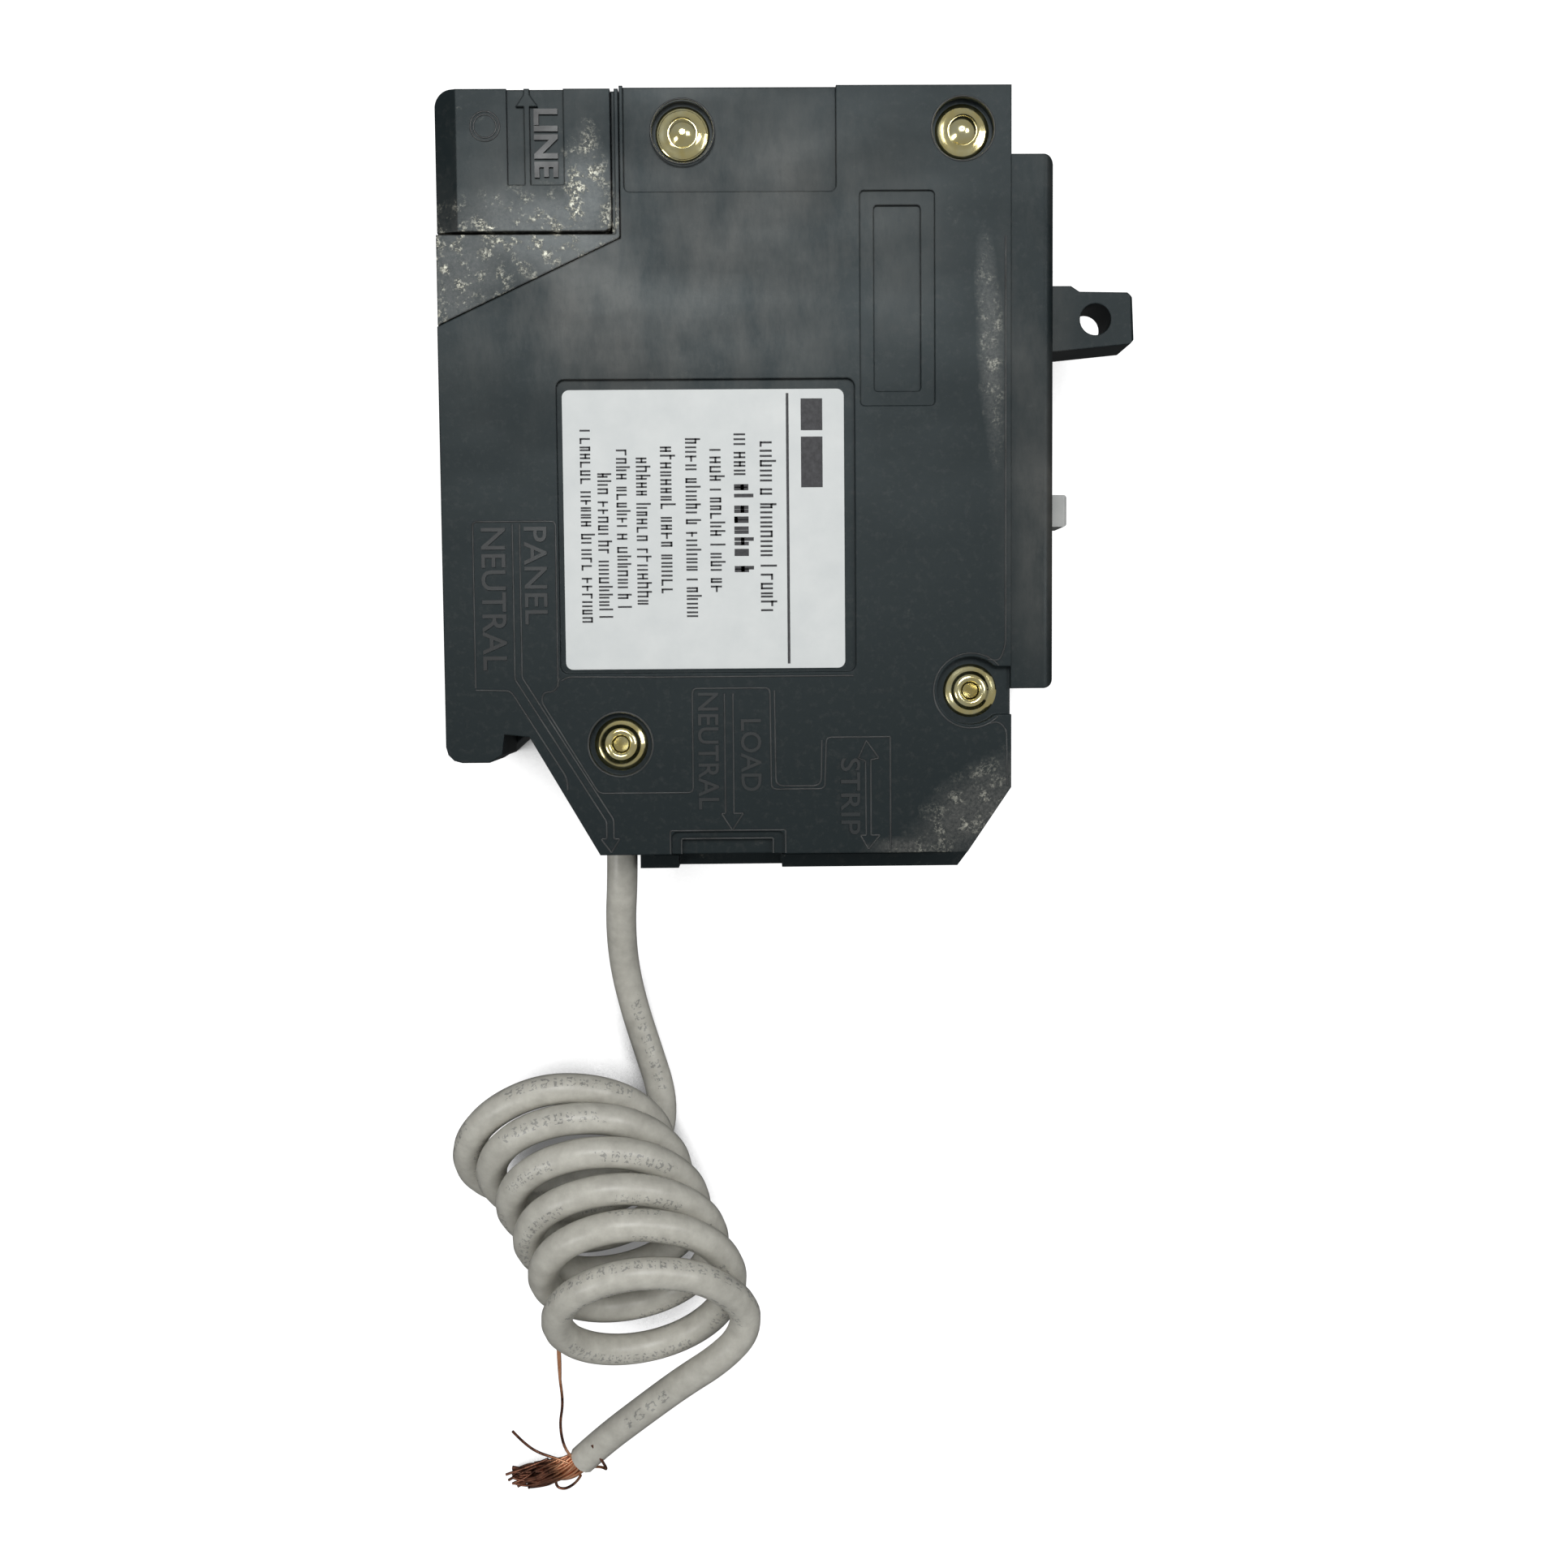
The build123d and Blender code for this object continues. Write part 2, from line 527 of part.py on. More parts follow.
def lug(at):
    """A box lug, open along Y for the wire, with the wire screw in its front wall."""
    x, z = at
    body = block(x - LUG_HALF_X, x + LUG_HALF_X, LUG_LOW, LUG_HIGH, z - LUG_HALF_Z, z + LUG_HALF_Z)
    body -= block(x - 3.3, x + 3.0, LUG_LOW - 1, LUG_HIGH + 1, z - 3.3, z + 3.3)
    return body - rod_x(x, x + 9, SCREW_Y, z, SCREW_RADIUS + 0.06)


def clamp(at):
    x, z = at
    return block(x + 1.6, x + 2.6, LUG_LOW + 0.4, LUG_HIGH - 0.4, z - 2.9, z + 2.9)


def wire_screw(at):
    x, z = at
    shank = rod_x(x + 2.65, x + 9.0, SCREW_Y, z, SCREW_RADIUS)
    head = rod_x(x + 8.9, x + 11.6, SCREW_Y, z, SCREW_HEAD)
    slot = block(x + 10.8, x + 12, SCREW_Y - 4, SCREW_Y + 4, z - 0.4, z + 0.4)
    return shank + head - slot


def neutral_strap():
    """The strap from the neutral lug to the board."""
    x, z = NEUTRAL_LUG
    return block(x - 2.5, x + 2.5, LUG_HIGH, -18.0, 14.25, 15.15)


# ---------------------------------------------------------------- electronics

def circuit_board():
    body = prism([(-27, -18.5), (20, -18.5), (20, 15.5), (-12, 15.5), (-27, 8.5)], 13.7, 14.2)
    body -= block(6.6, 10.8, SOLENOID_Y - 2.3, SOLENOID_Y + 2.3, 10, 16)
    return body


def toroids(outer, hole, half):
    x, y = TOROID_AT
    rings = []
    for z in (15.9, 20.6):
        rings.append(rod(x, y, z - half, z + half, outer) - rod(x, y, z - half - 1, z + half + 1, hole))
    return rings


def toroid_cores():
    return Compound(children=toroids(TOROID_RADIUS - 1.0, TOROID_HOLE + 1.0, 1.4))


def toroid_windings():
    jackets = []
    shells = toroids(TOROID_RADIUS, TOROID_HOLE, 2.0)
    for whole, core in zip(shells, toroids(TOROID_RADIUS - 0.95, TOROID_HOLE + 0.95, 1.45)):
        jackets.append(whole - core)
    return Compound(children=jackets)


def load_conductor():
    """The insulated conductor that passes through both transformers."""
    return rod(TOROID_AT[0], TOROID_AT[1], 10.9, 22.8, 1.5)


def solenoid_frame():
    low = block(-12, 3.2, SOLENOID_Y - 4.2, SOLENOID_Y + 4.2, 14.25, 15.15)
    ends = [block(x, x + 1.2, SOLENOID_Y - 4.2, SOLENOID_Y + 4.2, 15.1, 22.9) for x in (-12, 2.0)]
    body = low + ends[0] + ends[1]
    return body - rod_x(-14, 6, SOLENOID_Y, SOLENOID_Z - 0.4, 1.5)


def solenoid_bobbin():
    z = SOLENOID_Z - 0.4
    body = rod_x(-10.7, 1.9, SOLENOID_Y, z, 2.0)
    body += [rod_x(-10.7, -10.0, SOLENOID_Y, z, 3.7), rod_x(1.2, 1.9, SOLENOID_Y, z, 3.7)]
    return body - rod_x(-14, 6, SOLENOID_Y, z, 1.5)


def solenoid_winding():
    z = SOLENOID_Z - 0.4
    return rod_x(-9.9, 1.1, SOLENOID_Y, z, 3.4) - rod_x(-14, 6, SOLENOID_Y, z, 2.05)


def plunger():
    z = SOLENOID_Z - 0.4
    return rod_x(-8.0, 9.0, SOLENOID_Y, z, 1.4) + rod_x(6.0, 6.8, SOLENOID_Y, z, 2.4)


def plunger_spring():
    z = SOLENOID_Z - 0.4
    body = coil_spring(2.5, 2.3, 0.5, 3) - rod(0, 0, -1, 9, 1.5)
    return Pos(3.35, SOLENOID_Y, z) * Rot(0, 90, 0) * body


def trip_link():
    """The arm on the plunger that reaches through the divider to the armature."""
    z = SOLENOID_Z - 0.4
    return block(9.0, 10.2, SOLENOID_Y - 1.6, SOLENOID_Y + 1.6, 5.2, z + 2.4)


def board_parts():
    return {
        "film_capacitor": block(-26, -17, -8, -3, 14.25, 21.5),
        "varistor": rod_y(-20.5, -16.6, -13.4, 18.6, 4.2),
        "thyristor": rod(-18.5, 8.5, 14.25, 19.5, 2.3) & block(-30, 0, 7.0, 20, 14, 20),
        "sense_chip": block(-10, -2, 2.5, 8.8, 14.6, 17.6),
        "resistors": Compound(children=[rod_x(1.5, 8.5, 1.5 + 3.4 * i, 15.6, 1.2) for i in range(4)]),
    }


# ---------------------------------------------------------------- test button

def test_button():
    face = block(NOSE_INNER - 0.3, BUTTON_TIP, BUTTON_LOW, BUTTON_HIGH, BUTTON_FAR, BUTTON_NEAR)
    face = fillet(face.faces().sort_by(Axis.X)[-1].edges(), 0.45)
    flange = block(33.4, 34.8, BUTTON_LOW - 1.1, BUTTON_HIGH + 1.1, BUTTON_FAR - 1, BUTTON_NEAR + 1)
    stem = block(27.6, 33.5, -4.6, -2.3, 11.5, 13.9)
    return face + flange + stem


def test_spring():
    body = coil_spring(3.6, 2.4, 0.5, 4) - rod(0, 0, -1, 9, 1.8)
    return Pos(29.7, (BUTTON_LOW + BUTTON_HIGH) / 2, 12.7) * Rot(0, 90, 0) * body


def test_contact():
    """The leaf that the button's stem pushes to close the test circuit."""
    leaf = block(25.2, 25.7, -7.0, 2.0, 13.7, 19.0)
    return leaf + block(19.0, 25.4, 0.8, 2.0, 13.7 + 0.55, 14.9)


# ---------------------------------------------------------------- pigtail

def coil_axes():
    twist, tilt = math.radians(COIL_TWIST), math.radians(COIL_TILT)
    across = Vector(math.cos(twist), math.sin(twist), 0)
    up = Vector(-math.sin(twist) * math.cos(tilt), math.cos(twist) * math.cos(tilt), math.sin(tilt))
    return across, up


def pigtail_coil():
    """The outer shape of the leaning coil, with the round space through its turns."""
    across, up = coil_axes()
    normal = across.cross(up)
    first = Vector(*COIL_FIRST)
    plane = Plane(origin=first - normal * CORD, x_dir=across, z_dir=normal)
    drift = Vector(*COIL_STEP) * (COIL_TURNS - 1) + normal * (2 * CORD)
    outer = (COIL_FIRST_RADIUS + COIL_LAST_RADIUS) / 2 + CORD
    ring = plane * (Circle(outer) - Circle(outer - 2 * CORD))
    body = extrude(ring, amount=drift.length, dir=drift.normalized())
    return body & block(-60, 30, -140, -60, 0.02, 60)


def tube(points, name):
    """A round cord along straight runs and the largest arcs that the runs allow."""
    ends = [Vector(*p) for p in points]
    radii = []
    for before, here, after in zip(ends, ends[1:], ends[2:]):
        turn = math.radians((here - before).get_angle(after - here))
        shorter = min((here - before).length, (after - here).length)
        radii.append(0.45 * shorter / math.tan(turn / 2))
    path = FilletPolyline(*points, radius=radii)
    body = sweep(Plane(origin=path @ 0, z_dir=path % 0) * Circle(CORD), path=path)
    print(name, "radii", [round(r, 1) for r in radii], "length", round(path.length, 1),
          "volume ratio", round(body.volume / (math.pi * CORD**2 * path.length), 4))
    return body


def pigtail_strands():
    """The bare copper strands at the pigtail's free end."""
    end = Vector(*TAIL[-1])
    way = (end - Vector(*TAIL[-2])).normalized()
    tip = Vector(-29.5, -125.8, 0.7)
    plane = Plane(origin=end, z_dir=way)
    root = plane * Circle(1.15)
    far = Plane(origin=tip, z_dir=(tip - end).normalized()) * Circle(0.6)
    return loft([root.face(), far.face()])


def pigtail_splice():
    """The crimped sleeve that joins the pigtail to the neutral side inside the case."""
    return rod_y(EXIT_X, -38.55, -35.2, EXIT_Z, CORD - 0.2)


# ---------------------------------------------------------------- write every piece

def all_pieces():
    pieces = {
        "base_case": base_case(),
        "center_frame": center_frame(),
        "cover": cover(),
        "cap_rivets": rivets(CAP_RIVETS, True),
        "open_rivets": rivets(OPEN_RIVETS, False),
        "side_label": side_label(),
        "front_label": front_label(),
        "line_jaw": line_jaw(),
        "jaw_clip": jaw_clip(),
        "line_strap": line_strap(),
        "fixed_contact": fixed_contact(),
        "arc_plates": arc_plates(),
        "arc_boards": arc_boards(),
        "handle": handle(),
        "handle_pin": pivot_pin(PIVOT, PIN_RADIUS, PLATE_LOW - 0.1),
        "arm_pin": pivot_pin(ARM_PIVOT, PIN_RADIUS, PLATE_LOW - 0.1),
        "cradle_pin": pivot_pin(CRADLE_PIVOT, SMALL_PIN, 5.0),
        "armature_pin": pivot_pin(ARMATURE_PIVOT, SMALL_PIN, 10.6),
        "contact_arm": contact_arm(),
        "moving_contact": moving_contact(),
        "main_spring": main_spring(),
        "cradle": cradle(),
        "armature": armature(),
        "armature_spring": armature_spring(),
        "bimetal": bimetal(),
        "magnet_yoke": magnet_yoke(),
        "flex_braid": flex_braid(),
        "load_strap": load_strap(),
        "calibration_screw": calibration_screw(),
        "load_lug": lug(LOAD_LUG),
        "load_clamp": clamp(LOAD_LUG),
        "load_screw": wire_screw(LOAD_LUG),
        "neutral_lug": lug(NEUTRAL_LUG),
        "neutral_clamp": clamp(NEUTRAL_LUG),
        "neutral_screw": wire_screw(NEUTRAL_LUG),
        "neutral_strap": neutral_strap(),
        "circuit_board": circuit_board(),
        "toroid_cores": toroid_cores(),
        "toroid_windings": toroid_windings(),
        "load_conductor": load_conductor(),
        "solenoid_frame": solenoid_frame(),
        "solenoid_bobbin": solenoid_bobbin(),
        "solenoid_winding": solenoid_winding(),
        "plunger": plunger(),
        "plunger_spring": plunger_spring(),
        "trip_link": trip_link(),
        "test_button": test_button(),
        "test_spring": test_spring(),
        "test_contact": test_contact(),
        "pigtail_splice": pigtail_splice(),
        "pigtail_lead": tube(LEAD, "lead"),
        "pigtail_coil": pigtail_coil(),
        "pigtail_tail": tube(TAIL, "tail"),
        "pigtail_strands": pigtail_strands(),
    }
    return pieces | board_parts()


os.makedirs("parts", exist_ok=True)
for name, shape in all_pieces().items():
    save(name, shape)
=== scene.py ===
import bpy
import json
import math
import random
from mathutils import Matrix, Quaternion, Vector


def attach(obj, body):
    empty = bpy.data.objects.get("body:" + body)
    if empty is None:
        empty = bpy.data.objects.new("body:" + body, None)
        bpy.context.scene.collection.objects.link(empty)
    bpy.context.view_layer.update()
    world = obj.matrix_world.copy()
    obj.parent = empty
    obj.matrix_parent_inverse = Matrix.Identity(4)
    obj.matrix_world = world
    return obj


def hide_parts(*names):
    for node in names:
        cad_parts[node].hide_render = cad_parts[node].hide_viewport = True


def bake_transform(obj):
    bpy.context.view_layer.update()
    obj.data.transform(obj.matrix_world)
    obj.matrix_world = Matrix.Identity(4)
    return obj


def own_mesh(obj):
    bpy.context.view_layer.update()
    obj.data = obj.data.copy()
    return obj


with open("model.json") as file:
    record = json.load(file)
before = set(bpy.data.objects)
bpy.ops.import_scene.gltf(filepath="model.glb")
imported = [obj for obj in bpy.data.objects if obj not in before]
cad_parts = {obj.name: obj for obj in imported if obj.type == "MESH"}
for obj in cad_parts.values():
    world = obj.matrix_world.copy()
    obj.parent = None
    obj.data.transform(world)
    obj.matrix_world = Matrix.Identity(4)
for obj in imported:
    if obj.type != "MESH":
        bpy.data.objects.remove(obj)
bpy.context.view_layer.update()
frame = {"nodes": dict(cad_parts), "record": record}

MM = 0.001
FACE = 25.4
LABEL_FACE = 25.02

# The pigtail, in millimetres: the part's own route, with the tail raised to pass clear over the last turn.
CORD_RADIUS = 1.85
COIL_TURNS = 6
COIL_TILT, COIL_TWIST = 40.0, 11.0
FIRST_SAG = 1.2
# The insulation's print marks, in millimetres: length and girth that they are laid out on, and their pitch.
MARKED_LENGTH, CORD_AROUND, MARK_PITCH = 490.0, 11.6, 1.35
POINTS_PER_TURN = 16
# Centre and radius of each turn, half way round it.
TURNS = [
    (-20.85, -79.4, 10.55, 11.3), (-18.15, -82.0, 13.1, 10.8), (-15.85, -85.4, 15.3, 10.7),
    (-13.65, -89.2, 17.2, 10.7), (-11.65, -92.8, 19.2, 10.8), (-9.75, -98.1, 20.6, 11.1),
]
LEAD = [
    (-13.3, -38.6, 10.4), (-13.3, -46.4, 10.3), (-13.9, -52.5, 7.4), (-13.8, -58.6, 3.8),
    (-12.7, -64.4, 2.0), (-11.0, -69.9, 1.88), (-9.3, -75.4, 1.9), (-9.5, -80.2, 1.95),
    (-11.9, -83.5, 1.9), (-15.7, -85.4, 1.88),
]
TAIL = [
    (1.2, -96.0, 21.0), (1.0, -100.1, 19.6), (-2.2, -103.8, 18.0),
    (-6.6, -107.6, 15.2), (-11.9, -112.9, 11.4), (-17.0, -118.4, 7.0), (-19.8, -121.5, 5.4),
]


# Scuffed patches of the molding, where a painted grey sheen and painted glints are laid on the scuffs:
# centre, radii, turn in degrees.
COVER_SCUFF_SHEEN = [
    ((27.5, -37.5, FACE), (5.0, 10.5, 9.0), -52),
    ((20.0, -41.8, FACE), (5.5, 1.4, 3.0), 0),
    ((29.4, 14.0, FACE), (1.8, 15.0, 3.0), 3),
]
CASE_SCUFF_SHEEN = [
    ((-20.0, 26.6, FACE), (15.0, 6.0, 9.0), 0),
    ((-15.2, 30.0, FACE), (3.8, 9.0, 9.0), 0),
    ((-30.0, 21.5, FACE), (7.5, 10.0, 9.0), -38),
]

# Molded contour lines on the near face, in millimetres: corner radius, then points.
CONTOURS = [
    (0.5, [(-28.3, -23.5), (-28.3, -5.0), (-19.1, -5.0), (-19.1, -23.4)]),
    (0.6, [(-28.3, -23.7), (-24.4, -23.8), (-18.3, -33.6), (-18.2, -35.0)]),
    (0.6, [(-18.9, -22.4), (-19.4, -23.9), (-20.7, -24.0), (-21.0, -25.0), (-14.7, -35.4), (-4.1, -35.4),
           (-4.1, -23.7), (4.6, -23.7), (4.7, -35.1), (10.7, -35.1), (10.9, -29.3), (18.1, -29.3)]),
    (0.9, [(5.1, -24.0), (5.2, -34.75), (10.3, -34.75), (10.4, -29.6)]),
    (0.2, [(18.1, -29.3), (18.1, -42.2)]),
    (0.5, [(-18.7, -22.7), (-17.9, -22.3), (-8.0, -22.4), (14.0, -22.4)]),
    (1.5, [(31.1, 26.0), (31.1, -19.2), (30.4, -20.9), (29.1, -20.7)]),
    (1.2, [(29.2, -27.9), (30.3, -27.7), (31.2, -28.6), (31.3, -34.9)]),
    (0.2, [(-6.75, -42.3), (-6.75, -39.7), (6.25, -39.7), (6.25, -42.3)]),
    (0.2, [(-5.5, -42.3), (-5.5, -40.6), (4.85, -40.6), (4.85, -42.3)]),
]
ARROWS = [
    (0.3, [(-23.9, -5.3), (-23.9, -22.5), (-13.9, -38.6), (-13.9, -40.6), (-14.6, -40.5), (-13.4, -42.1)]),
    (0.3, [(-23.1, -5.3), (-23.1, -22.3), (-13.1, -38.4), (-13.1, -40.6), (-12.4, -40.5), (-13.4, -42.1)]),
    (0.1, [(-0.5, -24.3), (-0.5, -37.8), (-0.95, -37.8), (0.25, -39.7), (1.5, -37.8), (0.45, -37.8),
           (0.45, -24.3)]),
    (0.1, [(15.3, -32.0), (14.5, -31.7), (15.4, -29.7), (16.8, -31.7), (15.9, -31.9), (15.9, -40.4),
           (16.9, -40.4), (15.6, -42.0), (14.7, -40.4), (15.35, -40.4), (15.3, -32.0)]),
]
RINGS = [(-4.5, 37.4, 3.5), (26.4, 37.6, 3.5), (-12.2, -29.9, 3.65), (-26.1, 38.0, 1.6), (-26.1, 38.0, 1.25)]
LIP_RING = (27.2, -24.2, 4.2)

# Raised words: text, inner and outer X of the letters, Y where the word starts and ends.
WORDS = [
    ("LINE", -20.75, -18.15, 39.9, 32.5),
    ("NEUTRAL", -27.4, -24.7, -5.7, -21.5),
    ("PANEL", -22.6, -20.1, -5.6, -16.4),
    ("NEUTRAL", -3.5, -1.2, -24.2, -37.3),
    ("LOAD", 1.3, 3.6, -27.2, -35.3),
    ("STRIP", 12.5, 14.7, -31.7, -40.3),
]

# Printed lines of the label: X of the line, Y where it starts and ends, height, boldness.
PRINT_LINES = [
    (-16.3, 5.1, -17.3, 1.15, 0.2), (-14.4, 0.3, -16.6, 1.15, 0.2), (-12.3, 2.9, -15.6, 1.15, 0.2),
    (-10.1, 2.0, -14.4, 1.2, 0.2), (-7.4, 3.2, -13.5, 1.25, 0.21), (-4.6, 4.1, -16.3, 1.25, 0.21),
    (-1.9, 2.9, -13.5, 1.25, 0.21), (0.8, 4.6, -0.2, 1.3, 0.22), (0.8, -1.0, -11.1, 1.6, 0.4),
    (3.7, 3.7, -15.6, 1.35, 0.23),
]


# Springs that a sliding piece presses: node, joint, fixed end, share of the length left at the limit.
PRESSED_SPRINGS = [
    ("plunger_spring", "trip_plunger_slide", (3.35, -6.6, 19.1), 0.4),
    ("test_spring", "test_button_press", (29.7, -3.45, 12.7), 0.56),
]
# Pieces held by the case at one end and by a moving body at the other:
# node, slot, body, fixed end, moving end.
FOLLOWERS = [
    ("main_spring", "steel", "contact_arm", (6.0, 13.5, 7.1), (6.0, 20.3, 7.1)),
    ("flex_braid", "copper", "contact_arm", (-2.4, 0.5, 7.1), (0.5, 18.5, 7.1)),
    ("armature_spring", "steel", "armature", (10.8, -19.5, 6.6), (7.1, -19.5, 6.6)),
]


# ---------------------------------------------------------------- camera

def make_camera():
    """A camera above the label side, turned a little so that the load end falls away."""
    data = bpy.data.cameras.new("camera")
    data.sensor_width = 36.0
    data.lens = 41.0
    camera = bpy.data.objects.new("camera", data)
    bpy.context.scene.collection.objects.link(camera)
    camera.location = (0.00307, -0.02081, 0.22598)
    turn = Vector((-0.0682, -0.0154, -0.0087))
    camera.rotation_mode = "QUATERNION"
    camera.rotation_quaternion = Quaternion(turn.normalized(), turn.length)
    data.clip_start = 0.01
    bpy.context.scene.camera = camera


# ---------------------------------------------------------------- nodes

def new_material(name):
    material = bpy.data.materials.new(name)
    material.use_nodes = True
    tree = material.node_tree
    shader = tree.nodes["Principled BSDF"]
    return material, tree, shader


def add(tree, kind, **values):
    node = tree.nodes.new(kind)
    for key, value in values.items():
        if hasattr(node, key):
            setattr(node, key, value)
        else:
            node.inputs[key].default_value = value
    return node


def place(tree, stretch=(1, 1, 1), turn=0.0):
    """The piece's own coordinates, stretched and turned about Z."""
    coords = add(tree, "ShaderNodeTexCoord")
    mapping = add(tree, "ShaderNodeMapping")
    mapping.inputs["Rotation"].default_value = (0, 0, math.radians(turn))
    mapping.inputs["Scale"].default_value = stretch
    tree.links.new(coords.outputs["Object"], mapping.inputs["Vector"])
    return mapping.outputs["Vector"]


def noise(tree, where, scale, detail=4.0, roughness=0.5):
    node = add(tree, "ShaderNodeTexNoise")
    node.inputs["Scale"].default_value = scale
    node.inputs["Detail"].default_value = detail
    node.inputs["Roughness"].default_value = roughness
    tree.links.new(where, node.inputs["Vector"])
    return node.outputs["Fac"]


def ramp(tree, value, low, high, first, last):
    """Maps a value between two stops onto two colours."""
    node = add(tree, "ShaderNodeValToRGB")
    node.color_ramp.elements[0].position = low
    node.color_ramp.elements[1].position = high
    node.color_ramp.elements[0].color = (*first, 1)
    node.color_ramp.elements[1].color = (*last, 1)
    tree.links.new(value, node.inputs["Fac"])
    return node.outputs["Color"]


def span(tree, value, low, high, first, last):
    """Maps a value between two stops onto two numbers."""
    node = add(tree, "ShaderNodeMapRange")
    node.inputs["From Min"].default_value = low
    node.inputs["From Max"].default_value = high
    node.inputs["To Min"].default_value = first
    node.inputs["To Max"].default_value = last
    tree.links.new(value, node.inputs["Value"])
    return node.outputs["Result"]


def blend_colours(tree, amount, first, second, mode="MIX"):
    node = add(tree, "ShaderNodeMix", data_type="RGBA", blend_type=mode)
    tree.links.new(amount, node.inputs["Factor"])
    tree.links.new(first, node.inputs["A"])
    tree.links.new(second, node.inputs["B"])
    return node.outputs["Result"]


def bump(tree, shader, height, distance, strength, under=None):
    node = add(tree, "ShaderNodeBump")
    node.inputs["Distance"].default_value = distance
    node.inputs["Strength"].default_value = strength
    tree.links.new(height, node.inputs["Height"])
    if under is not None:
        tree.links.new(under, node.inputs["Normal"])
    tree.links.new(node.outputs["Normal"], shader.inputs["Normal"])


# ---------------------------------------------------------------- materials

def patch(tree, center, radii, turn=0.0):
    """1 at a spot on the piece falling smoothly to 0 at its radii, in millimetres."""
    coords = add(tree, "ShaderNodeTexCoord")
    mapping = add(tree, "ShaderNodeMapping", vector_type="TEXTURE")
    mapping.inputs["Location"].default_value = [c * MM for c in center]
    mapping.inputs["Rotation"].default_value = (0, 0, math.radians(turn))
    mapping.inputs["Scale"].default_value = [r * MM for r in radii]
    ball = add(tree, "ShaderNodeTexGradient", gradient_type="SPHERICAL")
    tree.links.new(coords.outputs["Object"], mapping.inputs["Vector"])
    tree.links.new(mapping.outputs["Vector"], ball.inputs["Vector"])
    return ball.outputs["Fac"]


def combine(tree, operation, first, second):
    node = add(tree, "ShaderNodeMath", operation=operation)
    for socket, value in zip(node.inputs, (first, second)):
        if isinstance(value, (int, float)):
            socket.default_value = value
        else:
            tree.links.new(value, socket)
    return node.outputs["Value"]


def together(tree, values):
    total = values[0]
    for value in values[1:]:
        total = combine(tree, "MAXIMUM", total, value)
    return total


def molded_black(name, scuffs, sparkle):
    """Black thermoset: cloudy flow marks, a fine grain, dust, a painted sheen over the upper area and the
    nose, scuffs with a painted grey sheen and painted glints, and softly rounded edges.
    """
    material, tree, shader = new_material(name)
    where = place(tree)
    clouds = noise(tree, place(tree, (1, 2.2, 1)), 38, 5, 0.55)
    streaks = noise(tree, place(tree, (1, 0.35, 1), 38), 120, 6, 0.68)
    # Painted sheen: the upper area and the nose are lightened towards a streaked brownish grey, standing for
    # the lamps' reflection.
    sheen_area = span(tree, patch(tree, (-6, 24, FACE), (34, 24, 60), 12), 0.0, 0.5, 0.0, 1.0)
    nose = span(tree, patch(tree, (35.5, 8.0, 22.0), (7, 36, 16)), 0.0, 0.5, 0.0, 0.8)
    sheen_area = combine(tree, "MAXIMUM", sheen_area, nose)
    painted_sheen = combine(tree, "MULTIPLY", sheen_area, span(tree, streaks, 0.40, 0.66, 0.0, 1.0))
    plain = ramp(tree, clouds, 0.38, 0.68, (0.0022, 0.0058, 0.0068), (0.0062, 0.0105, 0.0115))
    painted_sheen_colour = ramp(tree, clouds, 0.3, 0.7, (0.036, 0.036, 0.034), (0.092, 0.088, 0.080))
    base = blend_colours(tree, painted_sheen, plain, painted_sheen_colour)
    dusty = span(tree, noise(tree, where, 1100, 4, 0.7), 0.52, 0.78, 0.0, 0.6)
    dust = ramp(tree, clouds, 0.3, 0.7, (0.022, 0.024, 0.024), (0.035, 0.035, 0.033))
    base = blend_colours(tree, dusty, base, dust)
    # Scuffed patches, partly real wear and partly painted light: a lighter grey painted sheen, with clusters
    # of near-white painted glints.
    spots = together(tree, [patch(tree, *spot) for spot in scuffs])
    clumps = noise(tree, where, 330, 5, 0.7)
    ragged = combine(tree, "ADD", spots, combine(tree, "MULTIPLY", clumps, 0.6))
    scuff_and_sheen = span(tree, ragged, 0.36, 0.98, 0.0, 1.0)
    glitter = noise(tree, where, 2900, 4, 0.75)
    bursts = span(tree, noise(tree, where, 520, 4, 0.65), 0.50, 0.64, 0.0, 1.0)
    bursts = combine(tree, "MULTIPLY", bursts, span(tree, glitter, 0.46, 0.56, 0.0, sparkle))
    painted_glints = combine(tree, "MULTIPLY", scuff_and_sheen, bursts)
    grey = ramp(tree, glitter, 0.35, 0.7, (0.035, 0.037, 0.036), (0.115, 0.113, 0.105))
    painted_highlight_colour = ramp(tree, glitter, 0.46, 0.62, (0.34, 0.33, 0.26), (1.0, 0.98, 0.82))
    base = blend_colours(tree, combine(tree, "MULTIPLY", scuff_and_sheen, 0.8), base, grey)
    tree.links.new(blend_colours(tree, painted_glints, base, painted_highlight_colour), shader.inputs["Base Color"])
    rough = span(tree, clouds, 0.35, 0.7, 0.46, 0.34)
    rough = combine(tree, "SUBTRACT", rough, combine(tree, "MULTIPLY", scuff_and_sheen, 0.1))
    tree.links.new(rough, shader.inputs["Roughness"])
    edge = add(tree, "ShaderNodeBevel", samples=6)
    edge.inputs["Radius"].default_value = 0.22 * MM
    grain = combine(tree, "ADD", noise(tree, where, 1500, 3, 0.6), combine(tree, "MULTIPLY", painted_glints, 2.5))
    bump(tree, shader, grain, 0.02 * MM, 0.35, edge.outputs["Normal"])
    shader.inputs["Specular IOR Level"].default_value = 0.3
    shader.inputs["Specular Tint"].default_value = (0.86, 0.97, 1.0, 1)
    return material


